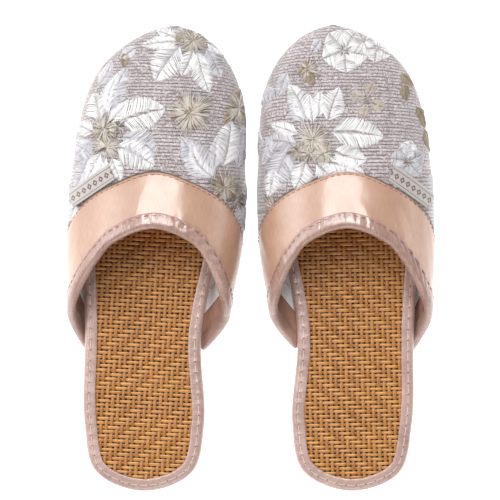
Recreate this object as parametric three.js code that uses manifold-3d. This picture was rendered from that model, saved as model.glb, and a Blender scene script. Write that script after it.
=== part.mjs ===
// A pair of open-heeled spa slippers, in millimetres, +Z up, toes towards +Y, standing on Z = 0.
//
// Each slipper is an outsole, a footbed bound in satin tape (board, cushion and woven mat) and an upper of
// three laminated layers. The upper has two parts: the vamp over the toes, and the satin collar behind it,
// whose legs run down both sides. The upper's edge is turned in between the outsole and the footbed.
//
// One slipper is modelled in its own frame: its heel end at the origin, its toe towards +Y, and the side of
// the big toe towards +X. The left slipper is that shape, and the right one is its mirror image.

import * as THREE from "three";
import { mergeVertices } from "three/addons/utils/BufferGeometryUtils.js";
import Module from "manifold-3d";

const wasm = await Module();
wasm.setup();

// ---- Driving dimensions ----

// Footbed outline, over its binding
const FOOTBED_LENGTH = 251;
const HEEL_WIDTH = 67;
const HEEL_STATION = 38; // from the heel end to the widest part of the heel
const WAIST_WIDTH = 65;
const WAIST_STATION = 88;
const WAIST_CENTRE = -1;
const BALL_WIDTH = 81;
const BALL_STATION = FOOTBED_LENGTH - 79; // stations in the front half are measured back from the toe end
const BALL_CENTRE = 6.5;
const TOE_WIDTH = 60;
const TOE_STATION = FOOTBED_LENGTH - 20;
const TOE_CENTRE = 11;
const TOE_TIP = 16; // the tip's distance from the heel's centre line

// Sole layers, from the floor up
const OUTSOLE = 6;
const OUTSOLE_INSET = 0.8;
const BOARD = 1.5;
const CUSHION = 3;
const MAT = 1.2;
const TAPE = 0.6; // satin binding tape
const BINDING_WIDTH = 7;
const BINDING_CHAMFER = 1;

// Tread
const GROOVE_WIDTH = 3;
const GROOVE_DEPTH = 1.2;
const GROOVE_PITCH = 15;
const TREAD_RIM = 9;

// Upper, layer by layer from the outside
const COVER = 0.7;
const PADDING = 1.2;
const LINING = 0.4;
const COLLAR_PROUD = 0.5; // the collar's satin stands this far above the vamp

// Form of the upper
const CREST_X = 6.5;
const CREST_HEIGHT = 60; // at the throat
const THROAT_STATION = FOOTBED_LENGTH - 103.5;
const CREST_SLOPE = 0.21; // fall per millimetre towards the toe
const CROWN = 2.35; // 2 is an ellipse in cross-section, and more is flatter on top
const FAN_STATION = FOOTBED_LENGTH - 71; // in front of this the cross-sections turn round the toe
const ROOM_TOE = 5; // between the footbed's edge and the lining, at the bulge line
const ROOM_MEDIAL = 10.5;
const ROOM_LATERAL = 5;
const BULGE_EASE = [FOOTBED_LENGTH - 133, FOOTBED_LENGTH - 61]; // where the leg's bulge becomes the toe's
const BULGE_HEIGHT_LEG = 27;
const BULGE_HEIGHT_TOE = 23;
const TUCK = 1.5; // how far inside the sole's edge the turn-in lies flat
const TURN_IN = 12;

// Throat binding, stitching and label
const THROAT_BINDING = 7;
const THROAT_STITCH = 5.6; // from the throat's edge
const FOOTBED_STITCH = 3.6; // from the footbed's edge
const THREAD = 0.6;
const LABEL_LENGTH = 29;
const LABEL_DEPTH = 10;
const LABEL_THICKNESS = 0.5;
const LABEL_PLACE = 0.613; // its middle, as a share of the way along the collar's front seam

// Clearances
const PLY_GAP = 0.2; // between laminated layers
const SEAT_GAP = 0.3; // between separate pieces that rest on each other
const SEAM_GAP = 0.8; // between the collar and the vamp
const FOOTBED_GAP = 1.5; // under the footbed, over the turn-in

// The pair
const PAIR_GAP = 6; // between the two uppers at their widest
const LEFT_TURN = -0.5; // degrees, anticlockwise from above, about the ball
const RIGHT_TURN = -1.1;

// Fineness of the facets
const OUTLINE_STEPS = 44;
const UPPER_ROWS = 24;
const VAMP_COLUMNS = 7;
const TRIM_ROWS = 2; // rows that the trims stop short of each end of the collar

// ---- Heights that follow ----

const turnZ = OUTSOLE + SEAT_GAP + COLLAR_PROUD; // outer face of the upper, flat under the footbed
const upperThickness = COVER + PADDING + LINING + 2 * PLY_GAP;
const footbedZ = turnZ + upperThickness + FOOTBED_GAP;
const boardZ = footbedZ + TAPE + PLY_GAP;
const cushionZ = boardZ + BOARD + PLY_GAP;
const matZ = cushionZ + CUSHION + PLY_GAP;
const footbedTop = matZ + MAT + PLY_GAP + TAPE;

// ---- Materials ----

const cloth = (color, roughness) => new THREE.MeshStandardMaterial({ color, roughness, metalness: 0 });
const materials = {
  satin: cloth(0xdcb7a3, 0.35),
  tape: cloth(0xcfaea3, 0.38),
  facing: cloth(0xb98a78, 0.45),
  embroideredNet: cloth(0xbfb3b2, 0.85),
  whiteLining: cloth(0xf1edeb, 0.85),
  foam: cloth(0xf3efe6, 0.95),
  rattan: cloth(0xc08a4e, 0.55),
  board: cloth(0x8d7b66, 0.9),
  rubber: cloth(0xcfc5b8, 0.8),
  thread: cloth(0xe6d3ca, 0.5),
  label: cloth(0xc9c3bf, 0.8),
};

// ---- Plan outlines ----

const heelHalf = HEEL_WIDTH / 2;
const outlinePoints = [
  [0, 0],
  [0.8 * heelHalf, 0.28 * HEEL_STATION],
  [heelHalf, HEEL_STATION],
  [WAIST_CENTRE + WAIST_WIDTH / 2, WAIST_STATION],
  [BALL_CENTRE + BALL_WIDTH / 2, BALL_STATION],
  [TOE_CENTRE + TOE_WIDTH / 2, TOE_STATION],
  [TOE_TIP, FOOTBED_LENGTH],
  [TOE_CENTRE - TOE_WIDTH / 2, TOE_STATION],
  [BALL_CENTRE - BALL_WIDTH / 2, BALL_STATION],
  [WAIST_CENTRE - WAIST_WIDTH / 2, WAIST_STATION],
  [-heelHalf, HEEL_STATION],
  [-0.8 * heelHalf, 0.28 * HEEL_STATION],
].map(([x, y]) => new THREE.Vector3(x, y, 0));
const outlineCurve = new THREE.CatmullRomCurve3(outlinePoints, true);

// Points of the footbed's outline, anticlockwise from the heel end, moved inwards by inset (a negative
// inset moves them outwards).
function outline(inset, steps = OUTLINE_STEPS) {
  const insetAt = typeof inset === "function" ? inset : () => inset;
  const points = [];
  for (let i = 0; i < steps; i++) {
    const p = outlineCurve.getPointAt(i / steps);
    const t = outlineCurve.getTangentAt(i / steps);
    const d = insetAt(p);
    points.push(new THREE.Vector2(p.x - t.y * d, p.y + t.x * d));
  }
  return points;
}

const smoothstep = (x, [from, to]) => THREE.MathUtils.smoothstep(x, from, to);
const lerp = THREE.MathUtils.lerp;

// How far the upper bulges out past the footbed's edge.
function bulgeAt(p) {
  const leg = p.x > CREST_X ? ROOM_MEDIAL : ROOM_LATERAL;
  return upperThickness + lerp(leg, ROOM_TOE, smoothstep(p.y, BULGE_EASE));
}

const FINE_STEPS = 360;
const soleEdge = outline(0, FINE_STEPS);
const bulgeEdge = outline((p) => -bulgeAt(p), FINE_STEPS);

// Distance from a point inside a closed outline to the outline, along a unit direction.
function reach(edge, from, direction) {
  let best = 0;
  edge.forEach((a, i) => {
    const b = edge[(i + 1) % edge.length];
    const sx = b.x - a.x;
    const sy = b.y - a.y;
    const cross = direction.x * sy - direction.y * sx;
    if (Math.abs(cross) < 1e-12) return;
    const along = ((a.x - from.x) * sy - (a.y - from.y) * sx) / cross;
    const share = ((a.x - from.x) * direction.y - (a.y - from.y) * direction.x) / cross;
    if (share >= -1e-9 && share <= 1 + 1e-9 && along > best) best = along;
  });
  return best;
}

// ---- Form of the upper ----
//
// The upper's outer face is a function of flat pattern coordinates (u, v), like a pattern piece laid over
// the foot. Inside the bulge line it is the crowned top. Past it, the face rolls down the wall, under the
// sole's edge, and lies flat as the turn-in.

const crestHeight = (y) => CREST_HEIGHT - CREST_SLOPE * (y - THROAT_STATION);
const bulgeHeight = (y) => lerp(BULGE_HEIGHT_LEG, BULGE_HEIGHT_TOE, smoothstep(y, BULGE_EASE));

// The ray that a pattern point lies on: where it starts, which way it runs, and the three lengths along it.
function rayThrough(u, v) {
  const from = new THREE.Vector2(CREST_X, Math.min(v, FAN_STATION));
  const offset = new THREE.Vector2(u, v).sub(from);
  const distance = offset.length();
  const direction = distance > 1e-9 ? offset.divideScalar(distance) : new THREE.Vector2(1, 0);
  const bulge = reach(bulgeEdge, from, direction);
  const flat = reach(soleEdge, from, direction) - TUCK;
  const height = bulgeHeight(from.y + direction.y * bulge);
  const wall = (Math.PI / 2) * Math.hypot(bulge - flat, height - turnZ) * Math.SQRT1_2;
  return { from, direction, distance, bulge, flat, height, wall };
}

function upperPoint(u, v) {
  const ray = rayThrough(u, v);
  let radius;
  let z;
  if (ray.distance <= ray.bulge) {
    const sine = Math.sin((ray.distance / ray.bulge) * (Math.PI / 2));
    radius = ray.bulge * sine;
    const crest = crestHeight(ray.from.y + ray.direction.y * radius);
    z = ray.height + (crest - ray.height) * Math.sqrt(Math.max(0, 1 - sine ** CROWN));
  } else {
    const past = ray.distance - ray.bulge;
    const angle = Math.min(1, past / ray.wall) * (Math.PI / 2);
    radius = ray.flat + (ray.bulge - ray.flat) * Math.cos(angle) - Math.max(0, past - ray.wall);
    z = ray.height - (ray.height - turnZ) * Math.sin(angle);
  }
  return new THREE.Vector3(ray.from.x + ray.direction.x * radius, ray.from.y + ray.direction.y * radius, z);
}

// Outward unit normal, from the slopes along u and v.
function upperNormal(u, v, step = 0.4) {
  const alongU = upperPoint(u + step, v).sub(upperPoint(u - step, v));
  const alongV = upperPoint(u, v + step).sub(upperPoint(u, v - step));
  return alongU.cross(alongV).normalize();
}

const upperAt = (at) => ({ point: upperPoint(at.x, at.y), normal: upperNormal(at.x, at.y) });

// ---- Pattern curves of the collar ----
//
// Each runs from the inner edge of the medial turn-in, up over the crest, to the lateral turn-in. The legs'
// points are set from the sole's edge, so that the collar follows the footbed.

// Pattern point on the horizontal ray at a station, past the bulge line by a share of the wall and a length.
function legPoint(side, station, wallShare, past = 0) {
  const ray = rayThrough(CREST_X + side, station);
  return [CREST_X + side * (ray.bulge + ray.wall * wallShare + past), station];
}

// Pattern point on the crowned top, at a share of the way from the crest to the bulge line.
function topPoint(side, station, share) {
  const ray = rayThrough(CREST_X + side, station);
  return [CREST_X + side * ray.bulge * share, station];
}

const curveThrough = (points) =>
  new THREE.CatmullRomCurve3(points.map(([u, v]) => new THREE.Vector3(u, v, 0)));

const LEG_REAR = FOOTBED_LENGTH - 173; // where the throat's edge reaches the sole
const LEG_FRONT = FOOTBED_LENGTH - 140; // where the collar's front seam reaches the sole
const COLLAR_DEPTH = 29; // from the throat's edge to the front seam, at the crest
const seamStation = THROAT_STATION + COLLAR_DEPTH;

const MEDIAL = 1;
const LATERAL = -1;

// Half of the throat's edge, from the turn-in up to just short of the crest.
const throatHalf = (side) => [
  legPoint(side, LEG_REAR, 1, TURN_IN),
  legPoint(side, LEG_REAR, 1),
  legPoint(side, LEG_REAR + 11, 0.45),
  topPoint(side, THROAT_STATION - 48, 0.98),
  topPoint(side, THROAT_STATION - 39, 0.76),
  topPoint(side, THROAT_STATION - 29, 0.6),
  topPoint(side, THROAT_STATION - 18, 0.45),
  topPoint(side, THROAT_STATION - 8, 0.3),
];
const seamHalf = (side) => [
  legPoint(side, LEG_FRONT, 1, TURN_IN),
  legPoint(side, LEG_FRONT, 1),
  legPoint(side, LEG_FRONT + 16, 0.45),
  topPoint(side, seamStation - 36, 0.98),
  topPoint(side, seamStation - 28, 0.8),
  topPoint(side, seamStation - 17, 0.58),
  topPoint(side, seamStation - 6.5, 0.29),
];
const throatEdge = curveThrough([
  ...throatHalf(MEDIAL),
  [CREST_X, THROAT_STATION],
  ...throatHalf(LATERAL).reverse(),
]);
const frontSeam = curveThrough([
  ...seamHalf(MEDIAL),
  [CREST_X, seamStation],
  ...seamHalf(LATERAL).reverse(),
]);

// Both curves and the distance between them over the surface, at a share of the way along the collar.
const collarLines = new Map();
function collarLine(along) {
  if (collarLines.has(along)) return collarLines.get(along);
  const throat = throatEdge.getPointAt(along);
  const seam = frontSeam.getPointAt(along);
  let width = 0;
  const SAMPLES = 8;
  for (let i = 0; i < SAMPLES; i++) {
    const a = throat.clone().lerp(seam, i / SAMPLES);
    const b = throat.clone().lerp(seam, (i + 1) / SAMPLES);
    width += upperPoint(a.x, a.y).distanceTo(upperPoint(b.x, b.y));
  }
  const line = { throat, seam, width };
  collarLines.set(along, line);
  return line;
}

// Pattern point on the collar, a real distance in front of the throat's edge.
function collarPattern(along, fromThroat) {
  const { throat, seam, width } = collarLine(along);
  return throat.clone().lerp(seam, fromThroat / width);
}

// Pattern point at the inner edge of the turn-in, at a share of the way round the vamp's edge.
const VAMP_CORNER = 7; // the vamp's narrow end, along the turn-in's inner edge
const outlineLength = outlineCurve.getLength();
const shareAtStation = (side) => {
  const target = LEG_FRONT + VAMP_CORNER;
  const half = side === MEDIAL ? [0, 0.5] : [0.5, 1];
  for (let i = 0; i < 40; i++) {
    const middle = (half[0] + half[1]) / 2;
    const past = outlineCurve.getPointAt(middle).y > target === (side === MEDIAL);
    half[past ? 1 : 0] = middle;
  }
  return half[0];
};
const vampFrom = shareAtStation(MEDIAL);
const vampTo = shareAtStation(LATERAL);
function rimPattern(along) {
  const p = outlineCurve.getPointAt(lerp(vampFrom, vampTo, along));
  const ray = rayThrough(p.x, p.y);
  const length = ray.bulge + ray.wall + TURN_IN;
  return new THREE.Vector3(
    ray.from.x + ray.direction.x * length,
    ray.from.y + ray.direction.y * length,
    0,
  );
}

// ---- Solids ----

// A closed mesh from points and triangles.
function meshGeometry(points, triangles) {
  const geometry = new THREE.BufferGeometry();
  geometry.setAttribute("position", new THREE.Float32BufferAttribute(points.flatMap((p) => p.toArray()), 3));
  geometry.setIndex(triangles.flat());
  return geometry;
}

// A sheet of even thickness over a grid of surface points, between two distances out from the surface.
function sheet(grid, outer, inner) {
  const rows = grid.length;
  const columns = grid[0].length;
  const size = rows * columns;
  const offset = (distance) =>
    grid.flat().map(({ point, normal }) => point.clone().addScaledVector(normal, distance));
  const points = [...offset(outer), ...offset(inner)];
  const at = (row, column) => row * columns + column;
  const triangles = [];
  const quad = (a, b, c, d) => triangles.push([a, b, c], [a, c, d]);
  for (let r = 0; r + 1 < rows; r++) {
    for (let c = 0; c + 1 < columns; c++) {
      const corners = [at(r, c), at(r, c + 1), at(r + 1, c + 1), at(r + 1, c)];
      quad(...corners);
      const [a, b, d, e] = corners.map((i) => i + size);
      triangles.push([a, d, b], [a, e, d]);
    }
  }
  const rim = [];
  for (let r = 0; r + 1 < rows; r++) rim.push([at(r, 0), at(r + 1, 0)]);
  for (let c = 0; c + 1 < columns; c++) rim.push([at(rows - 1, c), at(rows - 1, c + 1)]);
  for (let r = rows - 1; r > 0; r--) rim.push([at(r, columns - 1), at(r - 1, columns - 1)]);
  for (let c = columns - 1; c > 0; c--) rim.push([at(0, c), at(0, c - 1)]);
  rim.forEach(([a, b]) => quad(a, b, b + size, a + size));
  return meshGeometry(points, triangles);
}

// A section carried through stations: sections holds one list of points for each station.
function loft(sections, closed) {
  const count = sections.length;
  const sides = sections[0].length;
  const triangles = [];
  for (let i = 0; i < (closed ? count : count - 1); i++) {
    const next = (i + 1) % count;
    for (let j = 0; j < sides; j++) {
      const k = (j + 1) % sides;
      const [a, b, c, d] = [i * sides + j, i * sides + k, next * sides + k, next * sides + j];
      triangles.push([a, c, b], [a, d, c]);
    }
  }
  if (!closed) {
    const last = (count - 1) * sides;
    capTriangles(sections[0]).forEach(([a, b, c]) => {
      triangles.push([a, b, c], [last + a, last + c, last + b]);
    });
  }
  return meshGeometry(sections.flat(), triangles);
}

// Triangles over a flat section, which may be hollow on one side, in the section's own turning sense.
function capTriangles(section) {
  const normal = new THREE.Vector3();
  section.forEach((p, i) => normal.add(p.clone().cross(section[(i + 1) % section.length])));
  normal.normalize();
  const across = section[1].clone().sub(section[0]).normalize();
  const up = normal.clone().cross(across);
  const flat = section.map((p) => new THREE.Vector2(p.dot(across), p.dot(up)));
  return THREE.ShapeUtils.triangulateShape(flat, []);
}

// A layer of the sole, between two heights.
function slab(inset, from, to) {
  const shape = new THREE.Shape(outline(inset));
  const geometry = new THREE.ExtrudeGeometry(shape, { depth: to - from, bevelEnabled: false });
  return geometry.translate(0, 0, from);
}

function block(x, y, z, [cx, cy, cz]) {
  return new THREE.BoxGeometry(x, y, z).translate(cx, cy, cz);
}

// three.js geometry to a manifold-3d solid, and back.
function solid(geometry) {
  const bare = geometry.index ? geometry.toNonIndexed() : geometry.clone();
  bare.deleteAttribute("normal");
  bare.deleteAttribute("uv");
  const merged = mergeVertices(bare, 1e-4);
  return new wasm.Manifold(
    new wasm.Mesh({
      numProp: 3,
      vertProperties: merged.attributes.position.array,
      triVerts: new Uint32Array(merged.index.array),
    }),
  );
}

function geometryOf(manifold) {
  const mesh = manifold.getMesh();
  const geometry = new THREE.BufferGeometry();
  geometry.setAttribute("position", new THREE.BufferAttribute(mesh.vertProperties, 3));
  geometry.setIndex(new THREE.BufferAttribute(mesh.triVerts, 1));
  return geometry;
}

// ---- Sole pieces ----

// Outsole with cross grooves cut into its underside, inside a plain rim.
function outsole() {
  const body = solid(slab(OUTSOLE_INSET, 0, OUTSOLE));
  const field = solid(slab(OUTSOLE_INSET + TREAD_RIM, -1, GROOVE_DEPTH));
  const wide = 2 * BALL_WIDTH;
  const count = Math.floor((FOOTBED_LENGTH - 2 * TREAD_RIM - GROOVE_WIDTH) / GROOVE_PITCH);
  const first = (FOOTBED_LENGTH - count * GROOVE_PITCH) / 2;
  let grooves = null;
  for (let i = 0; i <= count; i++) {
    const bar = block(wide, GROOVE_WIDTH, 4 * GROOVE_DEPTH, [0, first + i * GROOVE_PITCH, 0]);
    grooves = grooves ? grooves.add(solid(bar)) : solid(bar);
  }
  return geometryOf(body.subtract(grooves.intersect(field)));
}

// Filler between outsole and footbed: full width behind the upper, and inside the turn-in under it.
function filler() {
  const top = footbedZ - SEAT_GAP;
  const whole = solid(slab(OUTSOLE_INSET, turnZ, top));
  const inside = solid(slab(TUCK + TURN_IN + 2, turnZ - 1, top + 1));
  const rear = LEG_REAR - 5;
  const long = FOOTBED_LENGTH;
  const front = solid(block(2 * BALL_WIDTH, long, 3 * OUTSOLE, [0, rear + long / 2, turnZ]));
  return geometryOf(whole.subtract(front.subtract(inside)));
}

// Satin tape folded round the footbed's edge: [inset, height] round its C-shaped section.
function footbedBinding() {
  const section = [
    [BINDING_WIDTH, footbedTop - TAPE],
    [TAPE, footbedTop - TAPE],
    [TAPE, footbedZ + TAPE],
    [BINDING_WIDTH, footbedZ + TAPE],
    [BINDING_WIDTH, footbedZ],
    [BINDING_CHAMFER, footbedZ],
    [0, footbedZ + BINDING_CHAMFER],
    [0, footbedTop - BINDING_CHAMFER],
    [BINDING_CHAMFER, footbedTop],
    [BINDING_WIDTH, footbedTop],
  ];
  return aroundFootbed(section);
}

// A section of [inset, height] points carried round the whole footbed.
function aroundFootbed(section) {
  const rings = section.map(([inset]) => outline(inset));
  const stations = rings[0].map((_, i) =>
    section.map(([, z], j) => new THREE.Vector3(rings[j][i].x, rings[j][i].y, z)),
  );
  return loft(stations, true);
}

// Three-sided thread section round [across, up], with a flat side down.
const threadSection = (across, up) => [
  [across - THREAD / 2, up],
  [across, up + THREAD],
  [across + THREAD / 2, up],
];

// ---- Upper pieces ----

const rowShares = Array.from({ length: UPPER_ROWS + 1 }, (_, i) => i / UPPER_ROWS);

const collarGrid = rowShares.map((along) => {
  const { width } = collarLine(along);
  const columns = [0, THROAT_BINDING, (THROAT_BINDING + width) / 2, width];
  return columns.map((fromThroat) => upperAt(collarPattern(along, fromThroat)));
});

// Columns crowd towards the rim, where the wall turns under.
const vampGrid = rowShares.map((along) => {
  const start = collarPattern(along, collarLine(along).width + SEAM_GAP);
  const rim = rimPattern(along);
  return Array.from({ length: VAMP_COLUMNS + 1 }, (_, i) =>
    upperAt(start.clone().lerp(rim, 1 - (1 - i / VAMP_COLUMNS) ** 1.5)),
  );
});

// Distances out from the upper's reference face.
const paddingOut = -COVER - PLY_GAP;
const paddingIn = paddingOut - PADDING;
const liningOut = paddingIn - PLY_GAP;
const liningIn = liningOut - LINING;
const collarCoverIn = paddingOut + PLY_GAP;

// A section of [distance in front of the throat's edge, distance out] points, carried along the collar from
// sole to sole.
function alongCollar(sectionAt) {
  const station = (along) =>
    sectionAt(along).map(([fromThroat, out]) => {
      const { point, normal } = upperAt(collarPattern(along, fromThroat));
      return point.addScaledVector(normal, out);
    });
  const rows = rowShares.slice(TRIM_ROWS, -TRIM_ROWS);
  return loft(
    rows.map((along) => station(along).reverse()),
    false,
  );
}

// Satin tape folded over the throat's edge.
function throatBinding() {
  const outside = COLLAR_PROUD + SEAT_GAP;
  const inside = liningIn - SEAT_GAP;
  return alongCollar(() => [
    [THROAT_BINDING, inside - TAPE],
    [-SEAM_GAP, inside - TAPE],
    [-SEAM_GAP - TAPE, inside],
    [-SEAM_GAP - TAPE, outside],
    [-SEAM_GAP, outside + TAPE],
    [THROAT_BINDING, outside + TAPE],
    [THROAT_BINDING, outside],
    [-SEAM_GAP, outside],
    [-SEAM_GAP, inside],
    [THROAT_BINDING, inside],
  ]);
}

// Thread lying on the collar, a distance in front of the throat's edge, or behind the front seam if negative.
function collarThread(distance, out) {
  const start = (along) => (distance > 0 ? 0 : collarLine(along).width);
  return alongCollar((along) => threadSection(start(along) + distance, out));
}

// The label's flat plate, sewn by its rear edge in front of the collar's seam, and the frame it lies in.
function labelMesh(name) {
  const pattern = (along) => collarPattern(along, collarLine(along).width + SEAT_GAP + 0.2);
  const step = LABEL_LENGTH / 2 / frontSeam.getLength();
  const middle = upperAt(pattern(LABEL_PLACE));
  const along = upperAt(pattern(LABEL_PLACE + step)).point.sub(upperAt(pattern(LABEL_PLACE - step)).point);
  const up = middle.normal;
  const side = along.addScaledVector(up, -along.dot(up)).normalize();
  const forward = up.clone().cross(side).normalize();
  if (forward.y < 0) {
    forward.negate();
    side.negate();
  }
  const plate = new THREE.BoxGeometry(LABEL_LENGTH, LABEL_DEPTH, LABEL_THICKNESS);
  plate.translate(0, LABEL_DEPTH / 2, LABEL_THICKNESS / 2);
  const mesh = new THREE.Mesh(plate, materials.label);
  mesh.name = name;
  mesh.position.copy(middle.point).addScaledVector(up, COLLAR_PROUD + SEAT_GAP);
  mesh.quaternion.setFromRotationMatrix(new THREE.Matrix4().makeBasis(side, forward, up));
  return mesh;
}

// ---- One slipper ----

function slipper(prefix) {
  const group = new THREE.Group();
  const insideTape = TAPE + PLY_GAP;
  const pieces = {
    outsole: [outsole(), materials.rubber],
    sole_filler: [filler(), materials.foam],
    insole_board: [slab(insideTape, boardZ, boardZ + BOARD), materials.board],
    footbed_cushion: [slab(insideTape, cushionZ, cushionZ + CUSHION), materials.foam],
    woven_mat: [slab(insideTape, matZ, matZ + MAT), materials.rattan],
    footbed_binding: [footbedBinding(), materials.tape],
    footbed_stitching: [aroundFootbed(threadSection(FOOTBED_STITCH, footbedTop + PLY_GAP)), materials.thread],
    vamp_cover: [sheet(vampGrid, 0, -COVER), materials.embroideredNet],
    vamp_padding: [sheet(vampGrid, paddingOut, paddingIn), materials.foam],
    vamp_lining: [sheet(vampGrid, liningOut, liningIn), materials.whiteLining],
    collar_cover: [sheet(collarGrid, COLLAR_PROUD, collarCoverIn), materials.satin],
    collar_padding: [sheet(collarGrid, paddingOut, paddingIn), materials.foam],
    collar_facing: [sheet(collarGrid, liningOut, liningIn), materials.facing],
    throat_binding: [throatBinding(), materials.tape],
    throat_stitching: [
      collarThread(THROAT_STITCH, COLLAR_PROUD + SEAT_GAP + TAPE + PLY_GAP),
      materials.thread,
    ],
    seam_stitching: [collarThread(-2 * THREAD, COLLAR_PROUD + PLY_GAP), materials.thread],
  };
  for (const [name, [geometry, material]] of Object.entries(pieces)) {
    const mesh = new THREE.Mesh(geometry, material);
    mesh.name = `${prefix}_${name}`;
    group.add(mesh);
  }
  group.add(labelMesh(`${prefix}_label`));
  return group;
}

// ---- The pair ----

// A slipper turned about its ball, on its own side of the pair's middle.
function placed(single, side, turn) {
  const pivot = new THREE.Group();
  const widest = Math.max(...bulgeEdge.map((p) => p.x));
  single.position.y = -BALL_STATION;
  pivot.add(single);
  pivot.position.set(side * (PAIR_GAP / 2 + widest), BALL_STATION, 0);
  pivot.rotation.z = THREE.MathUtils.degToRad(turn);
  return pivot;
}

const leftSlipper = slipper("left");
const rightSlipper = slipper("right");
rightSlipper.scale.x = -1;

const pair = new THREE.Group();
pair.add(placed(leftSlipper, -1, LEFT_TURN), placed(rightSlipper, 1, RIGHT_TURN));

// The pair stands centred over the origin.
const centre = new THREE.Box3().setFromObject(pair, true).getCenter(new THREE.Vector3());
pair.position.set(-centre.x, -centre.y, 0);

export default pair;
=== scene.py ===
"""A pair of open-heeled spa slippers: satin collars, embroidered net vamps and woven rattan footbeds."""

import logging
import math
from dataclasses import dataclass, field
from enum import Enum
from typing import Callable, Sequence

import bpy
import numpy as np
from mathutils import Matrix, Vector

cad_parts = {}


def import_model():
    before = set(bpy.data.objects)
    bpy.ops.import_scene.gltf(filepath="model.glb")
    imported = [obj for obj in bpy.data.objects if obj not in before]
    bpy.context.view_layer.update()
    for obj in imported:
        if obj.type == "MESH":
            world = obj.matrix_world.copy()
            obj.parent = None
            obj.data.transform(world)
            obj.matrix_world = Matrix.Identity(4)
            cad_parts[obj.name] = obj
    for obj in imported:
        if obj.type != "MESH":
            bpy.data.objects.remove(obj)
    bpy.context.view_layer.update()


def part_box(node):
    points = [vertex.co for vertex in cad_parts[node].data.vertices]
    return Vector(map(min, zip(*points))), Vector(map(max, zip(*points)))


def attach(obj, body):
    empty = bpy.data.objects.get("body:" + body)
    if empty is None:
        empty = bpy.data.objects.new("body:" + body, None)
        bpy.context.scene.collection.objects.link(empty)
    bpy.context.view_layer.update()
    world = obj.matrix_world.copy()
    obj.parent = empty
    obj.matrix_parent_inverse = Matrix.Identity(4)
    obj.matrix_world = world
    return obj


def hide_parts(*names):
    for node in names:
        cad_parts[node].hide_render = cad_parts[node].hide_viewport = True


LOG = logging.getLogger("slippers")
MM = 0.001
TAU = 2 * math.pi
Array = np.ndarray
Socket = bpy.types.NodeSocket
Colour = tuple[float, float, float]
Point = tuple[float, float]
UV_SPAN = 400.0
FOOTBED_STITCH_PITCH = 6.0
FOOTBED_STITCH_INSET = 3.45


# ---------------------------------------------------------------- options


class Side(Enum):
    """Which foot a slipper is for, with the sign that its own x axis takes in the pair."""

    LEFT = 1
    RIGHT = -1

    @property
    def word(self) -> str:
        """The side's name, as piece names use it."""
        return self.name.lower()


class Yarn(Enum):
    """Embroidery thread colours, in linear RGB."""

    WHITE = (0.96, 0.955, 0.965)
    PALE = (0.74, 0.73, 0.78)
    BEIGE = (0.6, 0.525, 0.43)
    TAN = (0.4, 0.31, 0.2)
    OLIVE = (0.2, 0.145, 0.075)


# ---------------------------------------------------------------- curves and small geometry


class Spline:
    """A centripetal Catmull-Rom curve through plan points, read by its share of length."""

    def __init__(self, points: Sequence[Sequence[float]], closed: bool, per_span: int = 160) -> None:
        """Samples the curve.

        Args:
            points: The plan points that the curve passes through.
            closed: Whether the last point joins the first.
            per_span: Samples between two points.
        """
        p = np.asarray(points, float)
        count = len(p)
        if closed:
            p1, p2 = p, np.roll(p, -1, axis=0)
            p0, p3 = np.roll(p, 1, axis=0), np.roll(p, -2, axis=0)
        else:
            ends = np.vstack([2 * p[0] - p[1], p, 2 * p[-1] - p[-2]])
            p0, p1, p2, p3 = (ends[i : i + count - 1] for i in range(4))
        knots = [np.sqrt(np.linalg.norm(b - a, axis=1))[:, None] for a, b in ((p0, p1), (p1, p2), (p2, p3))]
        d0, d1, d2 = (np.maximum(k, 1e-4) for k in knots)
        t1 = ((p1 - p0) / d0 - (p2 - p0) / (d0 + d1) + (p2 - p1) / d1) * d1
        t2 = ((p2 - p1) / d1 - (p3 - p1) / (d1 + d2) + (p3 - p2) / d2) * d1
        w = (np.arange(per_span) / per_span)[None, :, None]
        p1, p2, t1, t2 = (a[:, None, :] for a in (p1, p2, t1, t2))
        cubic = (2 * p1 - 2 * p2 + t1 + t2) * w**3 + (3 * p2 - 3 * p1 - 2 * t1 - t2) * w**2 + t1 * w + p1
        line = cubic.reshape(-1, 2)
        self.line = np.vstack([line, p[:1] if closed else p[-1:]])
        self.run = path_length(self.line)

    @property
    def length(self) -> float:
        """Length of the curve."""
        return float(self.run[-1])

    def at(self, share: Array) -> Array:
        """Points at shares of the curve's length, as an array with x and y last."""
        s = np.asarray(share, float) * self.length
        return np.stack([np.interp(s, self.run, self.line[:, k]) for k in (0, 1)], -1)

    def tangent(self, share: Array) -> Array:
        """Unit directions of the curve at shares of its length, from the points a little before and after.

        Args:
            share: Shares of the curve's length.

        Returns:
            Directions with x and y last.
        """
        step = 0.0015
        share = np.asarray(share, float)
        closed = np.allclose(self.line[0], self.line[-1])
        low, high = share - step, share + step
        if closed:
            low, high = low % 1, high % 1
        d = self.at(high) - self.at(low)
        return d / np.linalg.norm(d, axis=-1, keepdims=True)


def unit(v: Array) -> Array:
    """Vectors scaled to length one."""
    return v / np.maximum(np.linalg.norm(v, axis=-1, keepdims=True), 1e-12)


def smooth(x: Array, low: float, high: float) -> Array:
    """Zero below low, one above high, and a cubic ease between.

    Args:
        x: Where to read it.
        low: Where the ease starts.
        high: Where it ends.

    Returns:
        Values of the same shape as x.
    """
    t = np.clip((np.asarray(x, float) - low) / (high - low), 0, 1)
    return t * t * (3 - 2 * t)


def mix(a: Array, b: Array, share: Array) -> Array:
    """A where the share is zero, B where it is one, and straight between."""
    return a * (1 - share) + b * share


def hump(x: Array, at: float, spread: float) -> Array:
    """A bell curve of height one: the exponential of minus the square of the distance in spreads."""
    return np.exp(-(((x - at) / spread) ** 2))


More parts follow.
